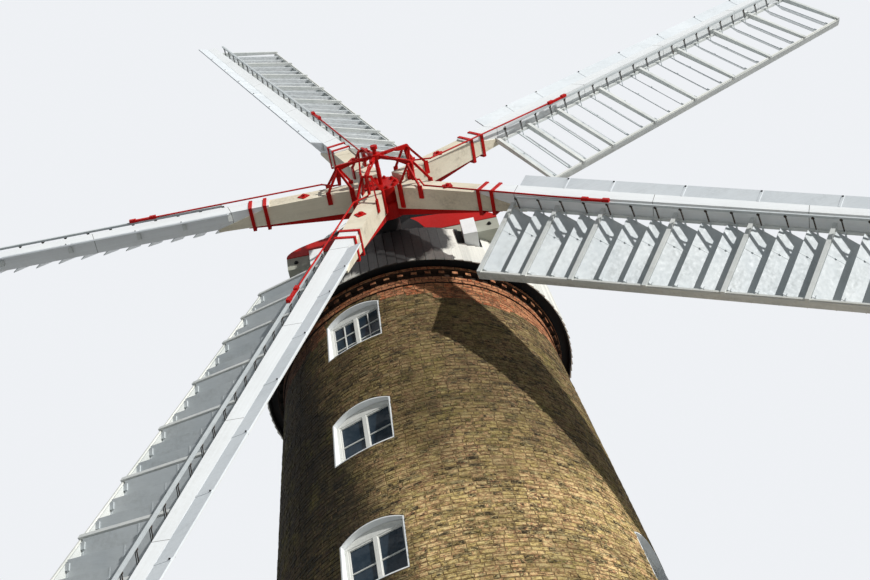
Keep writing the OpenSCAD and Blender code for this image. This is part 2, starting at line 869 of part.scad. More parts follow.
module spider() {
  color(red_paint) at_shaft() {
    translate([0, 0, nose_front + seat_gap])
      cylinder(h = spider_z + spider_nose - nose_front, r = spider_rod_r);
    translate([0, 0, spider_z - spider_boss_h / 2]) cylinder(h = spider_boss_h, r = spider_boss_r);
    translate([0, 0, spider_z + spider_nose - 40]) cylinder(h = 60, r = 60);
    for (i = [1 : sails]) rotate([0, 0, sail_turn + 360 / sails * (i - 1)])
      bar([60, 0, spider_z], [spider_r, 0, spider_z - 20], crank_t, 56);
  }
}

// Two long legs on each side of the back carry one pivot pin
module crank_stands() {
  side_y = back_w / 2 + seat_gap;
  leg_y = side_y + stand_pad / 2;
  color(red_paint) for (i = [1 : sails]) on_sail(i) {
    for (side = [-1, 1], foot = [[crank_r - 170, -400], [crank_r + 230, -200]]) {
      bar([crank_r, side * (pivot_l / 2 - 14), crank_z], [foot[0], side * leg_y, stand_foot_z], 24, 40);
      translate([foot[0] - 40, side * leg_y - stand_pad / 2, foot[1]])
        cube([80, stand_pad, stand_foot_z + 20 - foot[1]]);
    }
    rod([crank_r, -pivot_l / 2, crank_z], [crank_r, pivot_l / 2, crank_z], pivot_r);
  }
}

module bell_cranks() {
  color(red_paint) for (i = [1 : sails]) on_sail(i)
    translate([0, crank_t / 2, 0]) rotate([90, 0, 0]) linear_extrude(crank_t) difference() {
      polygon([
        [link_r - 30, spider_z - 60], [link_r - 30, spider_z - 10], [crank_r + 30, crank_z + 50],
        [crank_r + 55, crank_z], crank_low + [crank_eye, 0], crank_low - [crank_eye, 0],
        [crank_r - 50, crank_z - 30]
      ]);
      translate([crank_r, crank_z]) circle(r = pivot_r + seat_gap);
    }
}

module crank_links() {
  y = (crank_t + link_t) / 2 + seat_gap;
  color(red_paint) for (i = [1 : sails], side = [-1, 1]) on_sail(i)
    bar([spider_r - 50, side * y, spider_z - 15], [link_r + 20, side * y, spider_z - 35], link_t, 36);
}

// Rod from each bell crank, across to the trailing side of the back and on to the shutter bar
rod_clear = 1.5;
rod_bends = [[800, 0, crank_low[1] + rod_r], [1000, -190, 50]];
rod_end_r = 4120;
fitting_l = 460;
fitting_w = 48;
fitting_h = 34;
block_l = 110;
block_w = 60;
block_h = 50;

// Point over the shutter bar at radius r, up above its front face
function over_shutter_bar(r, up) =
  mix(shutter_bar_heel, shutter_bar_tip, (r - shutter_bar_heel[0]) / (shutter_bar_tip[0] - shutter_bar_heel[0]))
  + [0, 0, shutter_bar_w / 2 + up];

// Piece of the fitting that lies on the shutter bar from radius r, l long, w wide and h high
module fitting_part(r, l, w, h) {
  bar(over_shutter_bar(r, seat_gap + h / 2), over_shutter_bar(r + l, seat_gap + h / 2), w, h);
}

module striking_rods() {
  start = [crank_low[0] + crank_eye + rod_clear, 0, crank_low[1] + rod_r];
  path = concat([start], rod_bends, [over_shutter_bar(rod_end_r, fitting_h / 2)]);
  color(red_paint) for (i = [1 : sails]) on_sail(i) {
    for (n = [1 : len(path) - 1]) rod(path[n - 1], path[n], rod_r);
    for (n = [1 : len(path) - 1]) translate(path[n]) sphere(r = rod_r + 3, $fn = 32);
    fitting_part(rod_end_r - fitting_l / 2, fitting_l, fitting_w, fitting_h);
    for (r = [rod_end_r - fitting_l / 2, rod_end_r + fitting_l / 2 - block_l])
      fitting_part(r, block_l, block_w, block_h);
  }
}

wall_part(1);  // wall_1
wall_part(2);  // wall_2
wall_part(3);  // wall_3
wall_part(4);  // wall_4
wall_part(5);  // wall_5
wall_part(6);  // wall_6
wall_part(7);  // wall_7
wall_part(8);  // wall_8
cornice();
curb();
ground_floor();
upper_floors();
window_frames(0);  // window_frames_front
window_frames(1);  // window_frames_right
window_frames(2);  // window_frames_rear
window_frames(3);  // window_frames_left
window_glass();
door_frames();
doors();
cap_ring();
sheers();
cap_skirt();
cap_dome();
cap_front();
finial();
weather_beam();
neck_bearing();
tail_beam();
fan_stage();
fan_posts();
fan();
windshaft();
iron_cross();
sail_backs();
leading_boards();
sail_clamps();
whip(1);  // whip_1
whip(2);  // whip_2
whip(3);  // whip_3
whip(4);  // whip_4
whip(5);  // whip_5
sail_frame(1);  // sail_frame_1
sail_frame(2);  // sail_frame_2
sail_frame(3);  // sail_frame_3
sail_frame(4);  // sail_frame_4
sail_frame(5);  // sail_frame_5
shutters(1);  // shutters_1
shutters(2);  // shutters_2
shutters(3);  // shutters_3
shutters(4);  // shutters_4
shutters(5);  // shutters_5
spider();
crank_stands();
bell_cranks();
crank_links();
striking_rods();
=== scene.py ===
"""Looks of a five-sailed brick tower mill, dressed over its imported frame.

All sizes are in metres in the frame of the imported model: the origin is at the foot of the
tower's centre line, the sails face -Y and Z is up. Colours are display values in hexadecimal,
but those of the lamps and the world are the linear values themselves.
"""

import logging
import math
from dataclasses import dataclass, field
from enum import Enum
from typing import Iterable, Optional, Sequence

import bpy
import numpy as np
from mathutils import Matrix, Vector


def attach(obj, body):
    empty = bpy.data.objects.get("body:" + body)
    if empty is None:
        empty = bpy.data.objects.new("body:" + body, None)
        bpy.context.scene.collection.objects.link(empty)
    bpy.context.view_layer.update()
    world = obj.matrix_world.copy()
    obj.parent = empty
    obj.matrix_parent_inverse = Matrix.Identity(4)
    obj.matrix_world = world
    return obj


LOG = logging.getLogger("mill")
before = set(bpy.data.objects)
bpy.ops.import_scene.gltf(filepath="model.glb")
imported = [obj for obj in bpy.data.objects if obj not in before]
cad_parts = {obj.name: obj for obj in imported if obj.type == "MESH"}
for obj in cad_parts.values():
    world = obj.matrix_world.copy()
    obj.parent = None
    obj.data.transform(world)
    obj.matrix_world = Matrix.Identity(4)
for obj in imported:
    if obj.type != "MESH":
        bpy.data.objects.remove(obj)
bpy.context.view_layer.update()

Point = tuple[float, float, float]
Range = tuple[float, float]
Rows = list[list[float]]
Item = bpy.types.Object
Material = bpy.types.Material
Socket = bpy.types.NodeSocket


class Body(Enum):
    """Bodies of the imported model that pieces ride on."""

    TOWER = "tower"
    CAP = "cap"
    SAILS = "sails"


class Slot(Enum):
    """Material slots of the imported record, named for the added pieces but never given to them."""

    BRICK = "brickwork"
    RED_BRICK = "red_brickwork"
    WHITE = "white_timber"
    RED_TIMBER = "red_timber"
    RED_IRON = "red_iron"
    BLACK_IRON = "black_iron"
    GLASS = "window_glass"
    SHUTTER = "white_shutter"


def linear(code: str) -> Point:
    """Turns a display colour of six hexadecimal digits into the linear values of a shader."""
    steps = (int(code[n:n + 2], 16) / 255 for n in (0, 2, 4))
    return tuple(v / 12.92 if v <= 0.04045 else ((v + 0.055) / 1.055) ** 2.4 for v in steps)


def move(x: float = 0.0, y: float = 0.0, z: float = 0.0) -> Matrix:
    """Matrix of a shift."""
    return Matrix.Translation((x, y, z))


def spin(angle: float, axis: str) -> Matrix:
    """Matrix of a turn by an angle in radians."""
    return Matrix.Rotation(angle, 4, axis)


def polar(radius: float, at: float, z: float) -> Point:
    """Point at a radius and an angle round the tower's centre line."""
    return radius * math.cos(at), radius * math.sin(at), z


def oblong(x: float, y: float) -> list[Range]:
    """Corners of a rectangle that reaches x and y to each side."""
    return [(-x, -y), (x, -y), (x, y), (-x, y)]


def circle(radius: float, count: int) -> list[Range]:
    """Corners of an even polygon."""
    return [polar(radius, math.tau * n / count, 0)[:2] for n in range(count)]


# Turn that points a piece's own Z out of the tower's front
TO_FRONT = spin(math.pi / 2, "X")


# Finishes


class Wiring:
    """Short hand for laying out the nodes of one tree."""

    def __init__(self, tree: bpy.types.NodeTree) -> None:
        """Takes a tree and empties it."""
        self.tree = tree
        tree.nodes.clear()

    def add(self, kind: str, values: Optional[dict] = None, **settings: object) -> bpy.types.Node:
        """Adds a node.

        Args:
            kind: Type of the node.
            values: Sockets by name or number, each with a plain value or the socket that feeds it.
            settings: Properties of the node itself.

        Returns:
            The new node.
        """
        node = self.tree.nodes.new(kind)
        for key, value in settings.items():
            setattr(node, key, value)
        for key, value in (values or {}).items():
            self.feed(node.inputs[key], value)
        return node

    def feed(self, socket: Socket, value: object) -> None:
        """Links a socket, or sets its own value.

        Args:
            socket: Socket of a node.
            value: Plain value, colour or the socket that feeds it.
        """
        if isinstance(value, Socket):
            self.tree.links.new(value, socket)
        elif socket.type == "RGBA":
            socket.default_value = (*(linear(value) if isinstance(value, str) else value), 1.0)
        else:
            socket.default_value = value

    def maths(self, work: str, first: object, second: object, third: object = 0.0) -> Socket:
        """One sum on two or three values."""
        return self.add("ShaderNodeMath", {0: first, 1: second, 2: third}, operation=work).outputs[0]

    def times(self, first: object, second: object) -> Socket:
        """Product of two values."""
        return self.maths("MULTIPLY", first, second)

    def plus(self, first: object, second: object) -> Socket:
        """Sum of two values."""
        return self.maths("ADD", first, second)


class NodeDesk(Wiring):
    """Nodes of one material, whose colour is laid on coat by coat."""

    def __init__(self, name: str, colour: object = None, frame_of: Optional[Matrix] = None) -> None:
        """Makes an empty material with its surface shader.

        Args:
            name: Name of the material.
            colour: Colour under all coats.
            frame_of: Frame that the patterns follow, where it isn't the shared one.
        """
        self.material = bpy.data.materials.new(name)
        self.material.use_nodes = True
        super().__init__(self.material.node_tree)
        self.colour = colour
        self.frame_of = frame_of
        self.shader = self.add("ShaderNodeBsdfPrincipled")
        self.add("ShaderNodeOutputMaterial", {"Surface": self.shader.outputs[0]})

    def place(self, scale: Sequence[float] = (1, 1, 1)) -> Socket:
        """Object coordinates, turned into the pattern's own frame and then stretched.

        Args:
            scale: Factors that stretch the pattern.

        Returns:
            The socket that gives the place.
        """
        where = self.add("ShaderNodeTexCoord").outputs["Object"]
        if self.frame_of is not None:
            back = self.frame_of.inverted()
            where = self.add("ShaderNodeMapping", {
                "Vector": where, "Location": back.translation, "Rotation": back.to_euler("XYZ")}).outputs[0]
        return self.add("ShaderNodeMapping", {"Vector": where, "Scale": scale}).outputs[0]

    def axes(self) -> Sequence[Socket]:
        """The three coordinates of the place."""
        return self.add("ShaderNodeSeparateXYZ", {0: self.place()}).outputs

    def tint(self) -> Socket:
        """The tint that each small piece was given."""
        return self.add("ShaderNodeAttribute", attribute_name="tint").outputs["Fac"]

    def noise(self, scale: float, detail: float = 3.0, roughness: float = 0.55,
              stretch: Sequence[float] = (1, 1, 1), where: Optional[Socket] = None) -> Socket:
        """Noise between 0 and 1 at a number of features per metre.

        Args:
            scale: Features per metre.
            detail: Finer layers.
            roughness: Strength of the finer layers.
            stretch: Factors that stretch the pattern.
            where: Own place of the pattern, if it has one.

        Returns:
            The socket that gives the noise.
        """
        return self.add("ShaderNodeTexNoise", {
            "Vector": self.place(stretch) if where is None else where,
            "Scale": scale, "Detail": detail, "Roughness": roughness}).outputs["Fac"]

    def span(self, value: object, low: float, high: float, to_low: float = 0.0,
             to_high: float = 1.0) -> Socket:
        """Maps low to high onto another range and clamps it.

        Args:
            value: Socket that is mapped.
            low: Value that gives to_low.
            high: Value that gives to_high.
            to_low: What low becomes.
            to_high: What high becomes.

        Returns:
            The socket that gives the result.
        """
        node = self.add("ShaderNodeMapRange", {
            "Value": value, "From Min": low, "From Max": high, "To Min": to_low, "To Max": to_high})
        return node.outputs[0]

    def steps(self, value: Socket, stops: Sequence[tuple[float, str]]) -> Socket:
        """Colour ramp through the given stops.

        Args:
            value: Socket that picks the colour.
            stops: Place and colour of each stop.

        Returns:
            The socket that gives the colour.
        """
        node = self.add("ShaderNodeValToRGB", {"Fac": value})
        marks = node.color_ramp.elements
        while len(marks) < len(stops):
            marks.new(0.5)
        for mark, (at, colour) in zip(marks, stops):
            mark.position = at
            mark.color = (*linear(colour), 1.0)
        return node.outputs["Color"]

    def lay(self, share: object, paint: object) -> None:
        """Lays a paint over the colour by a share."""
        mix = self.add("ShaderNodeMix", {0: share, 6: self.colour, 7: paint}, data_type="RGBA")
        self.colour = mix.outputs[2]

    def coat(self, paint: object, noise: Socket, low: float, high: float, most: float = 1.0,
             least: float = 0.0) -> None:
        """Lays a paint over the colour, by a share from least at low to most at high."""
        self.lay(self.span(noise, low, high, least, most), paint)

    def relief(self, height: Socket, depth: float, strength: float = 1.0) -> None:
        """Adds relief of a depth in metres to the surface.

        Args:
            height: Socket that gives the height.
            depth: Depth in metres.
            strength: Share of it that shows.
        """
        bump = self.add("ShaderNodeBump", {"Height": height, "Distance": depth, "Strength": strength})
        old = self.shader.inputs["Normal"]
        if old.is_linked:
            self.feed(bump.inputs["Normal"], old.links[0].from_socket)
        self.feed(old, bump.outputs[0])

    def surface(self, grit: Socket, smooth: float, rough: float, specular: float = 0.5,
                ior: float = 1.5) -> Material:
        """Feeds the surface shader, rougher where the grit is high.

        Args:
            grit: Noise that the roughness follows.
            smooth: Roughness where the grit is low.
            rough: Roughness where it is high. If it equals smooth, the surface is even.
            specular: Level of the reflection.
            ior: Index of refraction.

        Returns:
            The finished material.
        """
        roughness = smooth if smooth == rough else self.span(grit, 0.3, 0.7, smooth, rough)
        for key, value in (("Base Color", self.colour), ("Roughness", roughness),
                           ("Specular IOR Level", specular), ("IOR", ior)):
            self.feed(self.shader.inputs[key], value)
        return self.material


class Finish:
    """Anything that can be put on a piece."""

    def material(self, name: str, **how: object) -> Material:
        """Makes the material."""
        raise NotImplementedError


@dataclass(frozen=True)
class TimberPaint(Finish):
    """Brushed paint on sawn timber, with grain along the piece, and dirt."""

    colour: str
    faded: str
    dirt: str
    bare: str
    roughness: float = 0.5
    dirt_share: float = 0.35
    grain: float = 0.0012
    joint_skew: float = 0.25

    def material(self, name: str, frame_of: Optional[Matrix] = None, joints: float = 0.0,
                 first_joint: float = 0.0, grain_axis: int = 0, soiled: float = 0.0) -> Material:
        """Makes the paint for one set of pieces.

        Args:
            name: Name of the material.
            frame_of: Frame whose axes the grain follows.
            joints: Spacing of the butt joints along the grain, or 0 for none.
            first_joint: Place of one of them.
            grain_axis: Axis that the grain runs along.
            soiled: Reach along the grain, from the frame's origin, that is soiled by grease.

        Returns:
            The material.
        """
        desk = NodeDesk(name, self.colour, frame_of)
        along = [38.0, 38.0, 38.0]
        along[grain_axis] = 1.6
        fibre = desk.noise(1.0, 4.0, stretch=along)
        blotch = desk.noise(0.9, 4.0, 0.6)
        streak = desk.noise(1.0, stretch=[a / 9 for a in along])
        speck = desk.noise(16.0, 3.0, 0.7)
        desk.coat(self.faded, blotch, 0.35, 0.7)
        grime = desk.times(desk.span(streak, 0.45, 0.8), desk.span(speck, 0.35, 0.65))
        desk.lay(desk.times(grime, self.dirt_share), self.dirt)
        desk.coat(self.dirt, fibre, 0.3, 0.75, 0.09)
        split = desk.axes()
        if soiled > 0:
            run = desk.plus(split[grain_axis], streak)
            desk.coat(self.dirt, run, soiled * 0.3, soiled, 0.0, 0.42)
        height = fibre
        if joints > 0:
            skew = desk.times(split[(grain_axis + 1) % 3], self.joint_skew)
            run = desk.maths("SUBTRACT", desk.plus(split[grain_axis], skew), first_joint)
            seam = desk.span(desk.maths("PINGPONG", run, joints / 2), 0.003, 0.007, 1.0, 0.0)
            desk.lay(desk.times(seam, 0.75), self.bare)
            height = desk.maths("SUBTRACT", height, desk.times(seam, 3.0))
        desk.relief(height, self.grain)
        return desk.surface(speck, self.roughness - 0.08, self.roughness + 0.14, specular=0.3)


@dataclass(frozen=True)
class BoardPaint(Finish):
    """Paint on single boards, which read their own grain direction and tint.

    Where a place is given, the boards darken round it: painted shade under the hub, and grease and soot from
    the shaft.
    """

    colour: str
    faded: str
    dirt: str
    roughness: float = 0.5
    shade_and_grease_at: Optional[Point] = None
    shade_and_grease_r: Range = (0.84, 1.0)

    def material(self, name: str) -> Material:
        """Makes the paint, with grain along each board's own first coordinate.

        Args:
            name: Name of the material.

        Returns:
            The material.
        """
        desk = NodeDesk(name, self.colour)
        own = desk.add("ShaderNodeUVMap", uv_map="grain").outputs[0]
        stretched = desk.add("ShaderNodeMapping", {"Vector": own, "Scale": (2.0, 55.0, 1.0)}).outputs[0]
        fibre = desk.noise(1.0, 4.0, where=stretched)
        blotch = desk.noise(1.3, 4.0, 0.6)
        speck = desk.noise(18.0, 3.0, 0.7)
        share = desk.times(desk.plus(desk.tint(), blotch), 0.5)
        desk.coat(self.faded, share, 0.25, 0.75)
        desk.coat(self.dirt, fibre, 0.4, 0.8, 0.22)
        desk.coat(self.dirt, speck, 0.58, 0.75, 0.3)
        # Painted shade under the hub, with grease from the shaft, round the given place
        if self.shade_and_grease_at is not None:
            ends = {0: desk.place(), 1: self.shade_and_grease_at}
            away = desk.add("ShaderNodeVectorMath", ends, operation="DISTANCE").outputs["Value"]
            ragged = desk.plus(away, desk.span(blotch, 0.3, 0.7, -0.25, 0.25))
            desk.coat(self.dirt, ragged, *self.shade_and_grease_r, 0.0, 0.97)
        desk.relief(fibre, 0.0014)
        return desk.surface(speck, self.roughness - 0.08, self.roughness + 0.12)


@dataclass(frozen=True)
class IronPaint(Finish):
    """Paint on cast and wrought iron, with rust in its pits and a thin gloss."""

    colour: str
    faded: str
    rust: str
    roughness: float = 0.4
    rust_share: float = 0.5

    def material(self, name: str) -> Material:
        """Makes the paint.

        Args:
            name: Name of the material.

        Returns:
            The material.
        """
        desk = NodeDesk(name, self.colour)
        blotch = desk.noise(2.2, 4.0, 0.6)
        pit = desk.noise(42.0, 4.0, 0.7)
        drip = desk.noise(1.0, stretch=(9.0, 9.0, 0.9))
        desk.coat(self.faded, blotch, 0.35, 0.68)
        worn = desk.times(desk.span(pit, 0.52, 0.68), desk.span(drip, 0.4, 0.7))
        desk.lay(desk.times(worn, self.rust_share), self.rust)
        desk.relief(pit, 0.0016)
        desk.relief(blotch, 0.004, 0.5)
        return desk.surface(pit, self.roughness - 0.1, self.roughness + 0.2, specular=0.15)


@dataclass(frozen=True)
class TowerSootAndShade:
    """Soot that lies on the tower's upper courses and, darkest, on the front's left, with painted shade: it
    deepens the sails' cast shadow on the upper courses and the shade of the left side, which turns from the
    light.
    """

    soot: str
    upper: Range = (13.9, 15.7)
    grime: str = "141412"
    left: Range = (-0.48, 0.06)

    def lay(self, desk: NodeDesk) -> None:
        """Darkens a material's colour with it.

        Args:
            desk: Nodes of the material.
        """
        cloud = desk.noise(0.8, 5.0, 0.65)
        split = desk.axes()
        # Soot and painted shade on the upper courses, where the sails' shadow falls
        desk.coat(self.soot, desk.plus(split[2], cloud), *self.upper, 0.62)
        # Painted shade with soot on the front's left, where the wall turns from the light, strongest at the
        # front
        lean = desk.span(split[2], 13.0, 17.0, 0.0, 0.9)
        side = desk.plus(desk.plus(split[0], cloud), lean)
        left_shade_and_soot = desk.span(side, *self.left, 0.85, 0.0)
        desk.lay(desk.times(left_shade_and_soot, desk.span(split[1], -0.3, 1.6, 1.0, 0.3)), self.grime)


@dataclass(frozen=True)
class BrickFace(Finish):
    """Fired brick whose colour changes from brick to brick, weathered by height and by runs of water, with
    painted shade on the upper courses and the front's left.
    """

    stops: tuple[tuple[float, str], ...]
    soot: str
    lichen: str
    pale: str
    soot_share: float = 0.6
    soot_and_shade_courses: Range = (13.9, 15.7)

    def material(self, name: str) -> Material:
        """Makes the brick.

        Args:
            name: Name of the material.

        Returns:
            The material.
        """
        desk = NodeDesk(name)
        face = desk.noise(13.0, 4.0, 0.7)
        desk.colour = desk.steps(
            desk.plus(desk.tint(), desk.span(face, 0.3, 0.7, -0.28, 0.28)), self.stops)
        patch = desk.noise(24.0, 4.0, 0.75, (1.0, 1.0, 1.7))
        blot = desk.noise(1.0, 4.0, 0.72, (4.5, 4.5, 11.0))
        drag = desk.noise(1.0, 3.0, 0.7, (9.0, 9.0, 62.0))
        for mark, dark, light in ((patch, (0.52, 0.62, 0.72), (0.47, 0.37, 0.75)),
                                  (blot, (0.52, 0.66, 0.66), (0.46, 0.35, 0.55)),
                                  (drag, (0.52, 0.63, 0.68), (0.46, 0.36, 0.62))):
            desk.coat(self.soot, mark, *dark)
            desk.coat(self.pale, mark, *light)
        desk.coat(self.soot, desk.noise(1.0, 5.0, 0.7, (1.6, 1.6, 2.6)), 0.5, 0.66, 0.5)
        cloud = desk.noise(0.8, 5.0, 0.65)
        run = desk.noise(1.0, 4.0, 0.6, (2.4, 2.4, 0.3))
        streak = desk.times(desk.span(cloud, 0.4, 0.62), desk.span(run, 0.35, 0.65))
        desk.lay(desk.times(streak, self.soot_share), self.soot)
        # Soot and painted shade on the upper courses and the front's left
        TowerSootAndShade(self.soot, self.soot_and_shade_courses).lay(desk)
        spread = desk.span(desk.noise(1.7, 4.0), 0.5, 0.68)
        green = desk.times(spread, desk.span(face, 0.4, 0.6))
        desk.lay(desk.times(green, 0.45), self.lichen)
        grit = desk.noise(75.0, 3.0, 0.7)
        desk.coat(self.soot, grit, 0.56, 0.74, 0.26)
        for height, depth in ((grit, 0.005), (drag, 0.009), (patch, 0.01)):
            desk.relief(height, depth)
        return desk.surface(grit, 0.78, 0.95, specular=0.2)


@dataclass(frozen=True)
class Mortar(Finish):
    """Lime mortar of the joints, sooty in places, with painted shade on the tower's upper courses and
    front's left.
    """

    colour: str
    sand: str
    soot: str

    def material(self, name: str) -> Material:
        """Makes the mortar.

        Args:
            name: Name of the material.

        Returns:
            The material.
        """
        desk = NodeDesk(name, self.colour)
        sand = desk.noise(120.0, 3.0, 0.7)
        desk.coat(self.sand, sand, 0.35, 0.65)
        desk.coat(self.soot, desk.noise(0.6, 5.0, 0.6), 0.4, 0.7, 0.8, 0.1)
        # Soot and painted shade on the upper courses and the front's left, as on the bricks
        TowerSootAndShade(self.soot).lay(desk)
        desk.relief(sand, 0.003)
        return desk.surface(sand, 0.85, 1.0, specular=0.2)


@dataclass(frozen=True)
class WindowGlass(Finish):
    """Old glass, nearly black from outside, with a slow ripple and dust."""

    colour: str
    dust: str

    def material(self, name: str) -> Material:
        """Makes the glass.

        Args:
            name: Name of the material.

        Returns:
            The material.
        """
        desk = NodeDesk(name, self.colour)
        dust = desk.noise(9.0, 5.0, 0.7)
        desk.coat(self.dust, dust, 0.45, 0.75, 0.5)
        desk.relief(desk.noise(5.0, 2.0), 0.004)
        return desk.surface(dust, 0.04, 0.2, ior=1.35)


@dataclass(frozen=True)
class StageFloor(Finish):
    """Plain pale floor."""

    colour: str

    def material(self, name: str) -> Material:
        """Makes the floor.

        Args:
            name: Name of the material.

        Returns:
            The material.
        """
        desk = NodeDesk(name, self.colour)
        fleck = desk.noise(0.8)
        desk.coat(tuple(0.97 * c for c in linear(self.colour)), fleck, 0.3, 0.7)
        return desk.surface(fleck, 0.9, 0.9)


# Near-black of the petticoat round the shaft: grease, and painted shade under the hub
GREASE_AND_SHADE = "18181a"
WHITE = TimberPaint("f0f3f4", "e9eced", "8c8470", "56544e", 0.45, 0.16)
BACK_WHITE = TimberPaint("eee6d0", "dad0b8", "685a46", "564e42", 0.5, 0.6)
LATTICE_WHITE = TimberPaint("e0e2de", "ced2d0", "706c60", "504e48", 0.5, 0.5)
VANE_WHITE = TimberPaint("ccd1d2", "bcc3c6", "80827c", "605e58", 0.5, 0.45)
LEADER_WHITE = TimberPaint("e4e9ec", "d8dee2", "80827e", "5c5c5a", 0.5, 0.25)
# Grey of the weather beam is painted shade of the beam under the sails
BEAM_SHADE_GREY = TimberPaint("b0b1a4", "96988c", "545246", "46423a", 0.6, 0.6)
BOARD_WHITE = BoardPaint("eaeae4", "d0d2cd", "7a7a6e", 0.45)
# The petticoat's boards round the shaft get painted shade under the hub, with grease
SKIRT_WHITE = BoardPaint("eceae0", "ccccc4", GREASE_AND_SHADE, shade_and_grease_at=(-0.08, -2.65, 19.75))
RED_WOOD = TimberPaint("b80e0a", "9c140e", "3a0c08", "38201a")
RED_METAL = IronPaint("c20f0c", "9e140f", "3a100a", 0.45)
BLACK_METAL = IronPaint("1e1e20", "2a2928", "4e301e", 0.55)
VANE_IRON = IronPaint("342e2a", "403832", "68422a", 0.6, 0.8)
# Black for the petticoat's lining and the cap's front: painted shade under the cap and behind the sails
SHADE_BLACK_WOOD = TimberPaint("161618", "222223", "3a3632", "48423a", 0.7)
BARE_WOOD = TimberPaint("80684c", "685844", "3e3226", "342c24", 0.75)
GAULT = BrickFace(
    (
        (0.0, "362b1e"), (0.09, "705c3c"), (0.19, "bea062"),
        (0.36, "ecce84"), (0.5, "c09a68"), (0.64, "e0a87c"),
        (0.77, "fade9c"), (0.89, "d4926e"), (0.95, "786044"), (1.0, "46382a"),
    ),
    "2a2216", "80783e", "fae4a8")
RED_BRICK = BrickFace(
    (
        (0.0, "96583c"), (0.25, "c47a56"), (0.5, "d8926a"),
        (0.75, "b6704c"), (0.9, "da7042"), (1.0, "784c36"),
    ),
    "322219", "78643c", "f0b684", 0.3, (18.4, 21.8))
# Dark cornice mortar: dark joints, and painted shade in the gaps of the dentil course
CORNICE_JOINTS_AND_SHADE = Mortar("4e382a", "3e2d22", "221a14")
JOINTS = Mortar("b49a6c", "947c58", "403426")
GLASS = WindowGlass("263440", "404e58")
FLOOR = StageFloor("f4f4f2")


# Making meshes


def dress(nodes: str, finish: Finish, name: str, **how: object) -> None:
    """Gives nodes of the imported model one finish.

    Args:
        nodes: Names of the nodes, with spaces between them.
        finish: What they get.
        name: Name of the material.
        how: What else the finish asks for.
    """
    material = finish.material(name, **how)
    for node in nodes.split():
        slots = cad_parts[node].data.materials
        slots.clear()
        slots.append(material)


def show(name: str, data: bpy.types.ID) -> Item:
    """Puts a new object into the scene.

    Args:
        name: Name of the object.
        data: Its mesh, lamp or camera.

    Returns:
        The object.
    """
    item = bpy.data.objects.new(name, data)
    bpy.context.scene.collection.objects.link(item)
    return item


def settle(piece: Item) -> None:
    """Turns what an object's modifiers make into its plain mesh and takes the modifiers off.

    Args:
        piece: The object.
    """
    bpy.context.view_layer.update()
    graph = bpy.context.evaluated_depsgraph_get()
    mesh = bpy.data.meshes.new_from_object(
        piece.evaluated_get(graph), preserve_all_data_layers=True, depsgraph=graph)
    piece.modifiers.clear()
    piece.data = mesh


def finish_piece(piece: Item, body: Body) -> None:
    """Ties a piece to its body and reports it.

    Args:
        piece: The piece.
        body: Body that it rides on.
    """
    piece.data.name = piece.name
    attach(piece, body.value)
    LOG.info("%s: %d faces on %s", piece.name, len(piece.data.polygons), body.value)


def ring_sides(count: int, base: int = 0) -> list[tuple[int, ...]]:
    """Faces between two rings of points that follow each other in a mesh."""
    ring = [(base + i, base + (i + 1) % count) for i in range(count)]
    return [(i, j, j + count, i + count) for i, j in ring]


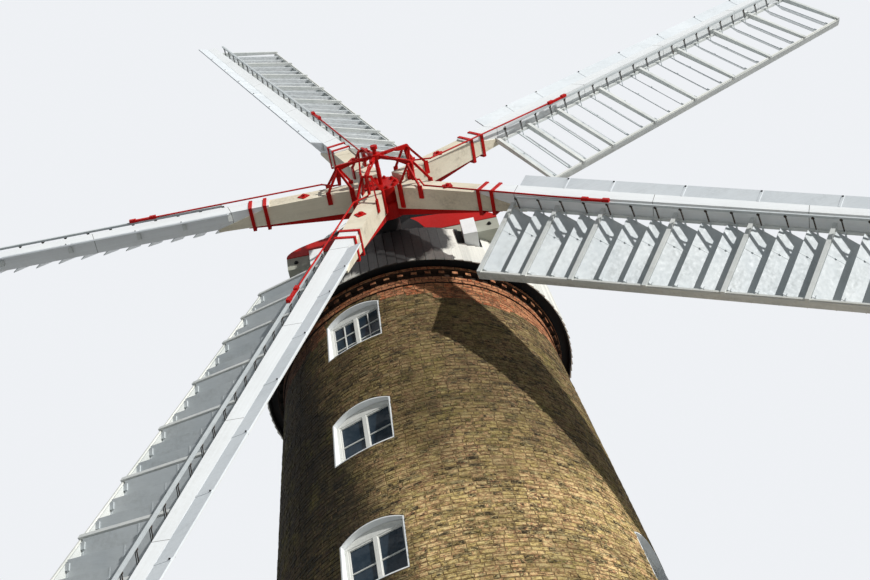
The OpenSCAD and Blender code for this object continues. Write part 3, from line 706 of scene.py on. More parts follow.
class Joinery:
    """Gathers sawn pieces into one mesh, each with a tint and with its grain along its longest side."""

    def __init__(self, seed: int) -> None:
        """Starts an empty set with a fixed seed for its tints.

        Args:
            seed: Seed of the tints.
        """
        self.points: list[Vector] = []
        self.faces: list[tuple[int, ...]] = []
        self.grain: list[Range] = []
        self.tints: list[float] = []
        self.random = np.random.default_rng(seed)

    def solid(self, ring: Sequence[Vector], other: Sequence[Vector], grain: Optional[Vector] = None) -> None:
        """Adds a prism between two like rings of points.

        Args:
            ring: Corners of one end.
            other: Corners of the other end, in the same order.
            grain: Direction of the grain, or None for the longest side.
        """
        count = len(ring)
        corners = [Vector(p) for p in (*ring, *other)]
        middle = sum(corners, Vector()) / len(corners)
        faces = [tuple(range(count))[::-1], tuple(range(count, 2 * count)), *ring_sides(count)]
        side = [corners[i] for i in faces[2]]
        normal = (side[1] - side[0]).cross(side[2] - side[1])
        if normal.dot(sum(side, Vector()) / 4 - middle) < 0:
            faces = [f[::-1] for f in faces]
        if grain is None:
            sides = [corners[count] - corners[0], corners[1] - corners[0], corners[2] - corners[1]]
            grain = max(sides, key=lambda edge: edge.length)
        grain = grain.normalized()
        tint = float(self.random.random())
        base = len(self.points)
        self.points += corners
        self.tints += [tint] * len(corners)
        for face in faces:
            edge = corners[face[1]] - corners[face[0]]
            across = grain.cross(edge.cross(corners[face[2]] - corners[face[1]]))
            across = across.normalized() if across.length > 1e-9 else grain.orthogonal().normalized()
            self.faces.append(tuple(base + i for i in face))
            for corner in (corners[i] for i in face):
                self.grain.append((corner.dot(grain) + 7 * tint, corner.dot(across) + 13 * tint))

    def prism(self, place: Matrix, outline: Sequence[Range], low: float, high: float) -> None:
        """Adds an outline in its own XY plane, drawn out along Z."""
        self.solid(*([place @ Vector((x, y, z)) for x, y in outline] for z in (low, high)))

    def box(self, place: Matrix, low: Point, high: Point) -> None:
        """Adds a box between two corners given in its own frame."""
        (x0, y0, z0), (x1, y1, z1) = low, high
        self.prism(place, [(x0, y0), (x1, y0), (x1, y1), (x0, y1)], z0, z1)

    def bar(self, start: Vector, end: Vector, width: float, depth: float, up: Vector) -> None:
        """Adds a bar between two points, with its depth along up as nearly as it goes.

        Args:
            start: Middle of one end.
            end: Middle of the other end.
            width: Size across up.
            depth: Size along up.
            up: Direction of the depth.
        """
        line = (end - start).normalized()
        side = line.cross(up).normalized() * width / 2
        top = side.cross(line).normalized() * depth / 2
        ring = [side + top, side - top, -side - top, -side + top]
        self.solid([start + p for p in ring], [end + p for p in ring], line)

    def piece(self, name: str, material: Material, body: Body, slot: Slot, bevel: float = 0.0) -> None:
        """Makes the object.

        Args:
            name: Name of the piece.
            material: Its finish.
            body: Body that it rides on.
            slot: Material slot of the record. Not used.
            bevel: Width of the softened edges, or 0 for none.
        """
        mesh = bpy.data.meshes.new(name)
        mesh.from_pydata([tuple(p) for p in self.points], [], self.faces)
        layer = mesh.uv_layers.new(name="grain")
        layer.data.foreach_set("uv", np.array(self.grain, dtype=np.float32).ravel())
        tint = mesh.attributes.new("tint", "FLOAT", "POINT")
        tint.data.foreach_set("value", np.array(self.tints, dtype=np.float32))
        mesh.materials.append(material)
        piece = show(name, mesh)
        if bevel > 0:
            edge = piece.modifiers.new("soft_edges", "BEVEL")
            edge.width = bevel
            edge.segments = 1
            edge.limit_method = "ANGLE"
            settle(piece)
        finish_piece(piece, body)


class PlacedCopies:
    """Geometry Nodes tree that sets a copy of one item on each place, turned, stretched and tinted."""

    tree: Optional[bpy.types.NodeTree] = None

    @classmethod
    def build(cls) -> bpy.types.NodeTree:
        """Builds the tree once.

        Returns:
            The tree, whose inputs are the places, the item, its finish, the seed and the tint spread.
        """
        if cls.tree is not None:
            return cls.tree
        cls.tree = bpy.data.node_groups.new("placed_copies", "GeometryNodeTree")
        for name, kind in (("Places", "Geometry"), ("Item", "Object"), ("Finish", "Material"),
                           ("Seed", "Int"), ("Tint Spread", "Float")):
            cls.tree.interface.new_socket(name, in_out="INPUT", socket_type=f"NodeSocket{kind}")
        cls.tree.interface.new_socket("Copies", in_out="OUTPUT", socket_type="NodeSocketGeometry")
        desk = Wiring(cls.tree)
        start = desk.add("NodeGroupInput").outputs
        item = desk.add("GeometryNodeObjectInfo", {"Object": start["Item"]})
        turn, size, hue = (
            desk.add("GeometryNodeInputNamedAttribute", {"Name": name}, data_type=kind).outputs["Attribute"]
            for name, kind in (("turn", "FLOAT_VECTOR"), ("stretch", "FLOAT_VECTOR"), ("hue", "FLOAT")))
        euler = desk.add("FunctionNodeEulerToRotation", {0: turn})
        copies = desk.add("GeometryNodeInstanceOnPoints", {
            "Points": start["Places"], "Instance": item.outputs["Geometry"], "Rotation": euler.outputs[0],
            "Scale": size})
        chance = desk.add("FunctionNodeRandomValue", {"Seed": start["Seed"]}, data_type="FLOAT")
        tint = desk.maths("MULTIPLY_ADD", chance.outputs[1], start["Tint Spread"], hue)
        stored = {"Geometry": copies.outputs[0], "Name": "tint", "Value": tint}
        last = desk.add("GeometryNodeStoreNamedAttribute", stored, data_type="FLOAT", domain="INSTANCE")
        for name in ("turn", "stretch", "hue"):
            last = desk.add("GeometryNodeRemoveAttribute", {"Geometry": last.outputs[0], "Name": name})
        real = desk.add("GeometryNodeRealizeInstances", {"Geometry": last.outputs[0]})
        dressed = desk.add("GeometryNodeSetMaterial", {
            "Geometry": real.outputs[0], "Material": start["Finish"]})
        desk.add("NodeGroupOutput", {"Copies": dressed.outputs[0]})
        return cls.tree

    @classmethod
    def lay(cls, name: str, item: Item, rows: Rows, finish: Material, body: Body, slot: Slot,
            seed: int = 1, spread: float = 0.0) -> None:
        """Makes one piece of many copies.

        Args:
            name: Name of the piece.
            item: The object that is copied. It isn't shown itself.
            rows: Place, turn as Euler angles, stretch and first tint of each copy, as ten numbers.
            finish: Material of the copies.
            body: Body that they ride on.
            slot: Material slot of the record. Not used.
            seed: Seed of the random tints.
            spread: Range of the random tints.
        """
        tree = cls.build()
        table = np.array(rows, dtype=float)
        mesh = bpy.data.meshes.new(name)
        mesh.from_pydata(table[:, :3].tolist(), [], [])
        for key, kind, part in (("turn", "vector", table[:, 3:6]), ("stretch", "vector", table[:, 6:9]),
                                ("hue", "value", table[:, 9])):
            layer = mesh.attributes.new(key, "FLOAT_VECTOR" if kind == "vector" else "FLOAT", "POINT")
            layer.data.foreach_set(kind, part.astype(np.float32).ravel())
        piece = show(name, mesh)
        live = piece.modifiers.new("copies", "NODES")
        live.node_group = tree
        values = {"Item": item, "Finish": finish, "Seed": seed, "Tint Spread": spread}
        for socket in tree.interface.items_tree:
            if socket.in_out == "INPUT" and socket.name in values:
                live[socket.identifier] = values[socket.name]
        settle(piece)
        finish_piece(piece, body)

    @classmethod
    def at(cls, name: str, item: Item, places: Iterable[Matrix], finish: Material, body: Body, slot: Slot,
           seed: int = 1) -> None:
        """Makes one piece of copies that stand in the given frames, with their scale and random tints.

        Args:
            name: Name of the piece.
            item: The object that is copied.
            places: Frame of each copy.
            finish: Material of the copies.
            body: Body that they ride on.
            slot: Material slot of the record. Not used.
            seed: Seed of the random tints.
        """
        rows = [[*where, *turn.to_euler("XYZ"), *size, 0.0]
                for where, turn, size in (place.decompose() for place in places)]
        cls.lay(name, item, rows, finish, body, slot, seed, 1.0)


def template(name: str, points: Sequence[Point], faces: Sequence[Sequence[int]]) -> Item:
    """Makes an object that is only copied and never shown.

    Args:
        name: Name of the object.
        points: Corners of its mesh.
        faces: Faces of its mesh.

    Returns:
        The object.
    """
    mesh = bpy.data.meshes.new(name)
    mesh.from_pydata([tuple(p) for p in points], [], [tuple(f) for f in faces])
    return bpy.data.objects.new(name, mesh)


def bolt_form(name: str) -> Item:
    """Hexagon nut on a washer, 1 across its flats, standing on its XY plane.

    Args:
        name: Name of the object.

    Returns:
        The object that is copied.
    """
    points: list[Point] = []
    faces: list[Sequence[int]] = []
    for radius, low, high, count in ((0.8, -0.05, 0.12, 10), (0.56, 0.12, 0.6, 6), (0.26, 0.6, 0.85, 6)):
        base = len(points)
        points += [(x, y, z) for z in (low, high) for x, y in circle(radius, count)]
        faces += [*ring_sides(count, base), range(base + count, base + 2 * count)]
    return template(name, points, faces)


def face_form(name: str, back: Sequence[Point], front: Sequence[Point]) -> Item:
    """Flat piece between a back of four corners, which is open, and a narrower front."""
    return template(name, [*back, *front], [(4, 5, 6, 7), *ring_sides(4)])


def brick_form() -> Item:
    """Brick face of 1 by 1 with softened edges, standing 1 proud of its XZ plane towards -Y."""
    return face_form("brick_form", *([(x, y, z) for x, z in oblong(*half)]
                                     for y, half in ((1, (0.5, 0.5)), (-1, (0.475, 0.43)))))


def strap_form() -> Item:
    """Flat strap of 1 by 1 by 1 with chamfered edges, standing on its XY plane."""
    return face_form("strap_form", *([(x, y, z) for x, y in oblong(*half)]
                                     for z, half in ((-0.1, (0.5, 0.5)), (1, (0.36, 0.49)))))


# Tower


@dataclass(frozen=True)
class Opening:
    """Opening in the brickwork with a segmental head."""

    turn: float
    sill: float
    width: float
    height: float
    rise: float

    @property
    def spring(self) -> float:
        """Level of the springing."""
        return self.sill + self.height

    @property
    def head_r(self) -> float:
        """Radius of the head."""
        return (self.width ** 2 / 4 + self.rise ** 2) / (2 * self.rise)

    @property
    def head_z(self) -> float:
        """Level of the centre of the head's circle."""
        return self.spring + self.rise - self.head_r

    def half_width(self, z: float, ring: float) -> float:
        """Half of the width that the opening and its brick arch take at a level, or 0.

        Args:
            z: The level.
            ring: Height of the arch.

        Returns:
            Half of the width.
        """
        if z < self.sill or z > self.spring + self.rise + ring:
            return 0.0
        if z <= self.spring:
            return self.width / 2
        skew = self.width / 2 * (1 + (z - self.spring) / (self.spring - self.head_z))
        reach = (self.head_r + ring) ** 2 - (z - self.head_z) ** 2
        return min(skew, math.sqrt(max(reach, 0.0)))


@dataclass(frozen=True)
class Tower:
    """Sizes of the tower that its dressing follows."""

    height: float = 18.7
    base_r: float = 4.105
    top_r: float = 2.430
    window_turn: float = 22.0
    sills: tuple[float, ...] = (1.25, 4.87, 7.41, 9.95, 12.49, 15.03, 17.57)
    side_sills: tuple[float, ...] = (7.41, 12.49)
    window_w: float = 1.01
    window_h: float = 0.93
    window_rise: float = 0.15
    door_w: float = 1.15
    door_h: float = 2.05
    door_rise: float = 0.12
    floor: float = 0.12
    reveal: float = 0.19
    frame_w: float = 0.07
    frame_d: float = 0.08
    head_rise: float = 0.04

    def radius(self, z: float) -> float:
        """Outside radius of the brickwork at a level."""
        return self.base_r + (self.top_r - self.base_r) * z / self.height

    @property
    def batter(self) -> float:
        """Lean of the wall face."""
        return math.atan((self.base_r - self.top_r) / self.height)

    def column(self, index: int) -> Matrix:
        """Frame of a window column, whose windows face -Y."""
        return spin(math.radians(-self.window_turn + 90 * index), "Z")

    def windows(self) -> list[tuple[int, float]]:
        """Column and sill level of every window."""
        return [(c, z) for c in range(4) for z in (self.sills if c % 2 == 0 else self.side_sills)]

    def openings(self) -> list[Opening]:
        """Every opening in the walls.

        Returns:
            The openings of the windows, then those of the doors.
        """
        turn = [math.radians(-90 - self.window_turn + 90 * c) for c in range(4)]
        window = (self.window_w, self.window_h, self.window_rise)
        door = (self.floor, self.door_w, self.door_h, self.door_rise)
        found = [Opening(turn[c], z, *window) for c, z in self.windows()]
        return found + [Opening(turn[c], *door) for c in (1, 3)]

    def frame_y(self, top: float) -> float:
        """Depth of a frame's front face."""
        return self.reveal - self.radius(top)


@dataclass
class TowerBrickwork:
    """Bricks of the tower, laid in courses round the taper, and the arches over its openings."""

    tower: Tower = field(default_factory=Tower)
    courses: int = 249
    joint: float = 0.0095
    pair: float = 0.3375
    long_shares: tuple[float, ...] = (0.677, 0.5, 0.6)
    unevenness: float = 0.09
    proud: float = 0.0065
    level_slack: float = 0.004
    turn_slack: Point = (0.04, 0.035, 0.05)
    shortest: float = 0.025
    ring: float = 0.11
    arch_header: float = 0.077
    red_depth: float = 0.42
    red_waver: float = 0.2
    parts: int = 8

    def is_red(self, at: float, z: float, chance: float) -> bool:
        """Tells whether a brick belongs to the wavering red courses under the cornice."""
        waver = 0.6 * math.sin(2 * at + 2.2) + 0.4 * math.sin(5 * at + 0.7) + 0.5 * (chance - 0.5)
        return self.tower.height - z < self.red_depth + self.red_waver * waver

    def lay(self) -> dict[tuple[int, bool], Rows]:
        """Lays every course.

        Returns:
            Rows of place, turn, size and tint for each part of the wall and each colour of brick.
        """
        tower = self.tower
        random = np.random.default_rng(11)
        openings = tower.openings()
        step = tower.height / self.courses
        part_turn = math.tau / self.parts
        first = math.radians(270 - tower.window_turn) - part_turn / 2
        rows: dict[tuple[int, bool], Rows] = {}
        shift = 0.0
        pairs = 0
        for course in range(self.courses):
            z = (course + 0.5) * step
            radius = tower.radius(z)
            if course % 7 == 0:
                fresh = round(math.tau * radius / self.pair)
                shift = random.random() if fresh != pairs else shift
                pairs = fresh
            share = self.long_shares[int(random.integers(len(self.long_shares)))]
            wander = self.unevenness * self.pair * (random.random(2 * pairs) - 0.5)
            ends = [(n // 2 + (share if n % 2 else 0.0)) * self.pair + wander[n % (2 * pairs)]
                    for n in range(2 * pairs + 1)]
            scale = math.tau / pairs / self.pair
            offset = (shift + 0.5 * (course % 2)) * (math.tau / pairs)
            for low, high in zip(ends, ends[1:]):
                middle = offset + (low + high) / 2 * scale
                length = (high - low) * scale * radius - self.joint
                for at, size in self.cut(middle, length, radius, z, step, openings):
                    part = int(((at - first) % math.tau) / part_turn) % self.parts
                    red = self.is_red(at, z, random.random())
                    level = z + self.level_slack * (random.random() - 0.5)
                    lean, roll, swing = (slack * (random.random() - 0.5) for slack in self.turn_slack)
                    rows.setdefault((part, red), []).append([
                        *polar(radius, at, level), lean - tower.batter, roll, at + math.pi / 2 + swing, size,
                        self.proud * (0.25 + 1.1 * random.random()),
                        step - self.joint * (0.8 + 0.6 * random.random()), random.random()])
        return rows

    def cut(self, middle: float, length: float, radius: float, z: float, step: float,
            openings: Sequence[Opening]) -> list[Range]:
        """Cuts one brick back from the openings.

        Args:
            middle: Angle of the brick's middle.
            length: Length of the brick.
            radius: Radius of the wall at its course.
            z: Level of the course.
            step: Height of the course.
            openings: Openings of the walls.

        Returns:
            Angle and length of what is left of the brick.
        """
        kept = [(middle, length)]
        for hole in openings:
            half = max(hole.half_width(z + side * step * 0.35, self.ring) for side in (-1, 1))
            if half <= 0 or math.cos(middle - hole.turn) < 0:
                continue
            left: list[Range] = []
            for at, size in kept:
                x = radius * math.sin(at - hole.turn)
                low, high = x - size / 2, x + size / 2
                for start, end in ((low, min(high, -half)), (max(low, half), high)):
                    if end - start > self.shortest:
                        left.append((hole.turn + math.asin((start + end) / 2 / radius), end - start))
            kept = left
        return kept

    def arches(self) -> Rows:
        """Lays the headers on edge over every opening.

        Returns:
            Rows of place, turn, size and tint.
        """
        random = np.random.default_rng(12)
        rows: Rows = []
        for hole in self.tower.openings():
            swing = math.asin(hole.width / 2 / hole.head_r)
            count = round(2 * swing * hole.head_r / self.arch_header)
            out = hole.head_r + self.ring / 2
            for index in range(count):
                lean = -swing + (index + 0.5) * 2 * swing / count
                z = hole.head_z + out * math.cos(lean)
                radius = self.tower.radius(z)
                at = hole.turn + math.asin(out * math.sin(lean) / radius)
                turn = spin(at + math.pi / 2, "Z") @ spin(-self.tower.batter, "X") @ spin(lean, "Y")
                size = (2 * swing * out / count - self.joint, self.proud * 1.1, self.ring - 0.006)
                rows.append([*polar(radius, at, z), *turn.to_euler("XYZ"), *size, random.random()])
        return rows

    def build(self) -> None:
        """Lays the bricks of every part of the wall."""
        form = brick_form()
        gault = ("", GAULT.material("gault_brick"), Slot.BRICK)
        red_brick = ("_red", RED_BRICK.material("red_brick"), Slot.RED_BRICK)
        for (part, red), rows in sorted(self.lay().items()):
            ending, finish, slot = red_brick if red else gault
            PlacedCopies.lay(f"bricks_{part + 1}{ending}", form, rows, finish, Body.TOWER, slot, part)
        PlacedCopies.lay("arch_bricks", form, self.arches(), gault[1], Body.TOWER, Slot.BRICK)
        dress(" ".join(f"wall_{n + 1}" for n in range(self.parts)), JOINTS, "lime_mortar")


@dataclass
class Cornice:
    """Brick faces of the cornice: a band, a course of alternate headers and an oversailing course."""

    foot: float = 18.7
    step: float = 0.075
    band_r: float = 2.455
    dentil_r: float = 2.52
    over_r: float = 2.55
    dentils: int = 68
    dentil_w: float = 0.101
    joint: float = 0.01
    proud: float = 0.004

    def build(self) -> None:
        """Lays the faces of its four courses."""
        random = np.random.default_rng(21)
        rows: Rows = []
        for level, radius in ((0, self.band_r), (1, self.band_r), (3, self.over_r), (2, self.dentil_r)):
            width = self.dentil_w if level == 2 else math.tau * radius / self.dentils - self.joint
            for index in range(self.dentils):
                at = math.tau * (index + 0.5 * (level % 2)) / self.dentils
                place = polar(radius, at, self.foot + (level + 0.5) * self.step)
                size = (width, self.proud * (0.7 + 0.6 * random.random()), self.step - 0.009)
                rows.append([*place, 0.0, 0.0, at + math.pi / 2, *size, random.random()])
        brick = RED_BRICK.material("cornice_brick")
        PlacedCopies.lay("cornice_bricks", brick_form(), rows, brick, Body.TOWER, Slot.RED_BRICK)
        # The dark mortar shows between the dentils as painted shade
        dress("cornice", CORNICE_JOINTS_AND_SHADE, "band_mortar")


class Sash(Enum):
    """Glazing of a window's two casements, as panes across and up."""

    SIX = (2, 3)
    TWO = (1, 2)


@dataclass
class Windows:
    """Planted mouldings, casements, glazing bars and panes of the windows."""

    tower: Tower = field(default_factory=Tower)
    stile: float = 0.022
    meeting: float = 0.006
    bar: float = 0.016
    sash_front: float = 0.012
    sash_depth: float = 0.042
    planted: float = 0.07
    lining: float = 0.0235
    gap: float = 0.001
    pane_y: Range = (0.024, 0.028)
    bar_y: Range = (0.006, 0.008)
    attic: float = 17.0

    def build(self) -> None:
        """Builds the mouldings and casements of every window."""
        moulding, wood, panes = Joinery(30), Joinery(31), Joinery(32)
        for column, sill in self.tower.windows():
            place = self.tower.column(column)
            self.moulding(moulding, place, sill)
            self.window(wood, panes, place, sill, Sash.SIX if sill > self.attic else Sash.TWO)
        for set_of, name, finish, paint, slot, bevel in (
                (moulding, "window_mouldings", BOARD_WHITE, "moulding_white", Slot.WHITE, 0.003),
                (wood, "casements", BOARD_WHITE, "casement_white", Slot.WHITE, 0.0),
                (panes, "casement_panes", GLASS, "casement_glass", Slot.GLASS, 0.0)):
            set_of.piece(name, finish.material(paint), Body.TOWER, slot, bevel)
        dress("window_frames_front window_frames_right window_frames_rear window_frames_left", WHITE,
              "frame_white", grain_axis=2)
        dress("window_glass", GLASS, "window_glass")

    def moulding(self, wood: Joinery, place: Matrix, sill: float) -> None:
        """Plants the outer frame of one window on the front of its frame.

        Args:
            wood: Set that takes the pieces.
            place: Frame of the window's column.
            sill: Level of its sill.
        """
        tower = self.tower
        back = tower.frame_y(sill + tower.window_h) - 0.0005
        front = back - self.planted
        bar, wide, foot = tower.frame_w, tower.window_w / 2, sill + self.lining
        half = wide - self.lining
        top = sill + tower.window_h - bar + tower.head_rise
        for low, high in ((-half, bar - wide), (-bar / 2, bar / 2), (wide - bar, half)):
            wood.box(place, (low, front, foot), (high, back, top))
        for side in (-1, 1):
            low, high = sorted((side * bar / 2, side * (wide - bar)))
            wood.box(place, (low, front, foot), (high, back, sill + bar))
        head = Opening(0.0, sill, tower.window_w, tower.window_h, tower.window_rise)
        reach = head.head_r - self.lining
        arch = [half * (1 - n / 6) for n in range(13)]
        outline = [(-half, top), (half, top)]
        outline += [(x, head.head_z + math.sqrt(reach ** 2 - x ** 2)) for x in arch]
        wood.prism(place @ TO_FRONT, outline, -back, -front)

    def window(self, wood: Joinery, panes: Joinery, place: Matrix, sill: float, sash: Sash) -> None:
        """Adds the two casements of one window.

        Args:
            wood: Set that takes the pieces.
            panes: Set that takes the glass.
            place: Frame of the window's column.
            sill: Level of its sill.
            sash: Its glazing.
        """
        tower = self.tower
        front = tower.frame_y(sill + tower.window_h) - self.planted + self.sash_front
        back = front + self.sash_depth
        light = (tower.window_w - 3 * tower.frame_w) / 2
        low = sill + tower.frame_w + self.gap
        high = sill + tower.window_h - tower.frame_w + tower.head_rise - self.gap
        across, up = sash.value
        half = self.bar / 2
        for side in (-1, 1):
            x0 = side * (light + tower.frame_w) / 2 - light / 2 + self.gap
            x1 = x0 + light - 2 * self.gap
            near, far = (self.stile, self.meeting)[::-side]
            left, right, foot, head = x0 + near, x1 - far, low + self.stile, high - self.stile
            wood.box(place, (x0, front, low), (left, back, high))
            wood.box(place, (right, front, low), (x1, back, high))
            for start in (low, head):
                wood.box(place, (left, front, start), (right, back, start + self.stile))
            glass, skin = (front + y for y in self.pane_y)
            panes.box(place, (left, glass, foot), (right, skin, head))
            for n in range(1, across):
                x = left + (right - left) * n / across
                wood.box(place, (x - half, front + self.bar_y[0], foot), (x + half, back, head))
            for n in range(1, up):
                z = foot + (head - foot) * n / up
                wood.box(place, (left, front + self.bar_y[1], z - half), (right, back, z + half))


@dataclass
class Doors:
    """Boards, ledges, hinges and latches of the two doors."""

    tower: Tower = field(default_factory=Tower)
    boards: int = 8
    proud: float = 0.012
    leaf_d: float = 0.045
    gap: float = 0.002
    strap: float = 0.007
    strap_half: float = 0.025
    strap_short: float = 0.22
    nails: int = 5
    nail_at: float = 0.06
    nail_step: float = 0.14
    nail_w: float = 0.022
    latch_x: Range = (0.09, 0.05)
    latch_z: Range = (1.08, 1.26)

    def build(self) -> None:
        """Builds the two doors' boards and ironwork."""
        tower = self.tower
        wood, iron = Joinery(41), Joinery(42)
        gap = self.gap
        front = tower.frame_y(tower.floor + tower.door_h) + (tower.frame_d - self.leaf_d) / 2
        face = front - self.proud
        width = tower.door_w - 2 * tower.frame_w - 2 * gap
        half = width / 2
        low = tower.floor + tower.frame_w + gap
        high = low + tower.door_h - 2 * tower.frame_w + tower.head_rise - 3 * gap
        bolts: list[Matrix] = []
        for column in (1, 3):
            place = tower.column(column)
            for index in range(self.boards):
                x = -half + width * index / self.boards
                wood.box(place, (x + gap, face, low), (x + width / self.boards - gap, front + 0.01, high))
            for z in (low + 0.25, (low + high) / 2, high - 0.25):
                iron.box(place, (-half + 2 * gap, face - self.strap, z - self.strap_half),
                         (half - self.strap_short, face, z + self.strap_half))
                for x in (-half + self.nail_at + n * self.nail_step for n in range(self.nails)):
                    spot = place @ move(x, face - self.strap, z)
                    bolts.append(spot @ TO_FRONT @ Matrix.Scale(self.nail_w, 4))
            left, right = (half - x for x in self.latch_x)
            iron.box(place, (left, face - self.proud, self.latch_z[0]), (right, face, self.latch_z[1]))
        wood.piece("door_boards", BOARD_WHITE.material("door_white"), Body.TOWER, Slot.WHITE, 0.003)
        iron.piece("door_straps", BLACK_METAL.material("door_iron"), Body.TOWER, Slot.BLACK_IRON)
        metal = BLACK_METAL.material("door_bolt_iron")
        PlacedCopies.at("door_bolts", bolt_form("bolt_form"), bolts, metal, Body.TOWER, Slot.BLACK_IRON)
        dress("doors", WHITE, "door_leaf_white", grain_axis=2)
        dress("door_frames", WHITE, "door_frame_white", grain_axis=2)


# Cap


@dataclass
class CapBoards:
    """Overlapping boards of the petticoat and the dome."""

    skirt_foot: float = 18.96
    skirt_r: float = 2.735
    waist: float = 19.921
    waist_r: float = 2.68
    dome_top: float = 24.02
    tip_r: float = 0.11
    skirt_boards: int = 108
    gores: int = 60
    lap: float = 0.009
    tucked: float = 0.06
    under_lap: float = 0.25
    buried: float = 0.004
    skirt_lap: float = 0.024
    front_y: float = -2.06
    sheer_x: float = 1.32
    sheer_half: float = 0.12
    sheer_foot: float = 19.501
    beam_foot: float = 19.801
    beam_half: float = 1.86
    beam_front: float = -2.40

    def skirt_radius(self, z: float) -> float:
        """Radius of the petticoat at a level."""
        share = (z - self.skirt_foot) / (self.waist - self.skirt_foot)
        return self.skirt_r + (self.waist_r - self.skirt_r) * share

    def profile(self) -> list[Range]:
        """Radius and level of the dome from the waist to the finial.

        Returns:
            The rings, from below.
        """
        r = self.waist_r
        bulge = ((r, 0), (r, 0.12), (0.87 * r, 0.32), (0.56 * r, 0.6))
        sweep = ((0.56 * r, 0.6), (0.436 * r, 0.712), (0.1 * r, 0.84), (self.tip_r, 1))
        out: list[Range] = []
        for curve, start in ((bulge, 0), (sweep, 1)):
            for t in (n / 8 for n in range(start, 9)):
                shares = ((1 - t) ** 3, 3 * t * (1 - t) ** 2, 3 * t * t * (1 - t), t ** 3)
                x, z = (sum(s * c[axis] for s, c in zip(shares, curve)) for axis in (0, 1))
                out.append((x, self.waist + z * (self.dome_top - self.waist)))
        return out

    def strip(self, wood: Joinery, rings: Sequence[Range], at: float, step: float, lap: float) -> None:
        """Adds one board that follows rings of radius and level, with one edge lapped over its neighbour.

        Args:
            wood: Set that takes the board.
            rings: Radius and level of the board's middle line.
            at: Angle of the board's left edge.
            step: Angle that it covers.
            lap: How far its lapped edge stands off.
        """
        left, right = at - step * self.tucked, at + step
        edges = ((lap * self.under_lap, left), (lap, right), (-self.buried, right), (-self.buried, left))
        rows = [[Vector(polar(r + off, turn, z)) for off, turn in edges] for r, z in rings]
        for ring, other in zip(rows, rows[1:]):
            wood.solid(ring, other, other[0] - ring[0])

    def skirt_top(self, at: float) -> float:
        """Level where a board of the petticoat stops under what passes over it.

        Args:
            at: Angle of the board's middle.

        Returns:
            The level.
        """
        radius = self.skirt_radius(self.waist)
        x, y = abs(radius * math.cos(at)), radius * math.sin(at)
        side = math.pi * radius / self.skirt_boards
        if abs(x - self.sheer_x) < self.sheer_half + side:
            return self.sheer_foot - 0.002
        if self.beam_front - 0.02 < y < self.front_y + side and x < self.beam_half + side:
            return self.beam_foot - 0.002
        return self.waist - 0.004

    def build(self) -> None:
        """Builds both sets of boards."""
        random = np.random.default_rng(53)
        skirt, dome = Joinery(51), Joinery(52)
        step = math.tau / self.skirt_boards
        for at in (index * step for index in range(self.skirt_boards)):
            foot = self.skirt_foot - 0.004 - 0.014 * random.random()
            rings = [(self.skirt_radius(z), z) for z in (foot, self.skirt_top(at + step / 2))]
            lap = self.skirt_lap * (0.8 + 0.4 * random.random())
            self.strip(skirt, rings, at + 0.08 * step, 0.88 * step, lap)
        skirt.piece("skirt_boards", SKIRT_WHITE.material("skirt_white"), Body.CAP, Slot.WHITE)
        step = math.tau / self.gores
        profile = self.profile()
        for at in (index * step for index in range(self.gores)):
            deepest = min(math.sin(at), math.sin(at + step))
            rings = [(r, z) for r, z in profile if r * deepest > self.front_y - 0.002]
            self.strip(dome, rings, at, step, self.lap)
        dome.piece("dome_boards", BOARD_WHITE.material("dome_white"), Body.CAP, Slot.WHITE)
        # Painted shade: the black lining shows under the cap and between the boards
        dress("cap_skirt", SHADE_BLACK_WOOD, "skirt_lining", grain_axis=2)
        dress("cap_dome", WHITE, "dome_paint", grain_axis=2)
        # Painted shade: the cap's front behind the sails is black
        dress("cap_front", SHADE_BLACK_WOOD, "cap_front_black", grain_axis=2)
        dress("finial", WHITE, "finial_white", grain_axis=2)


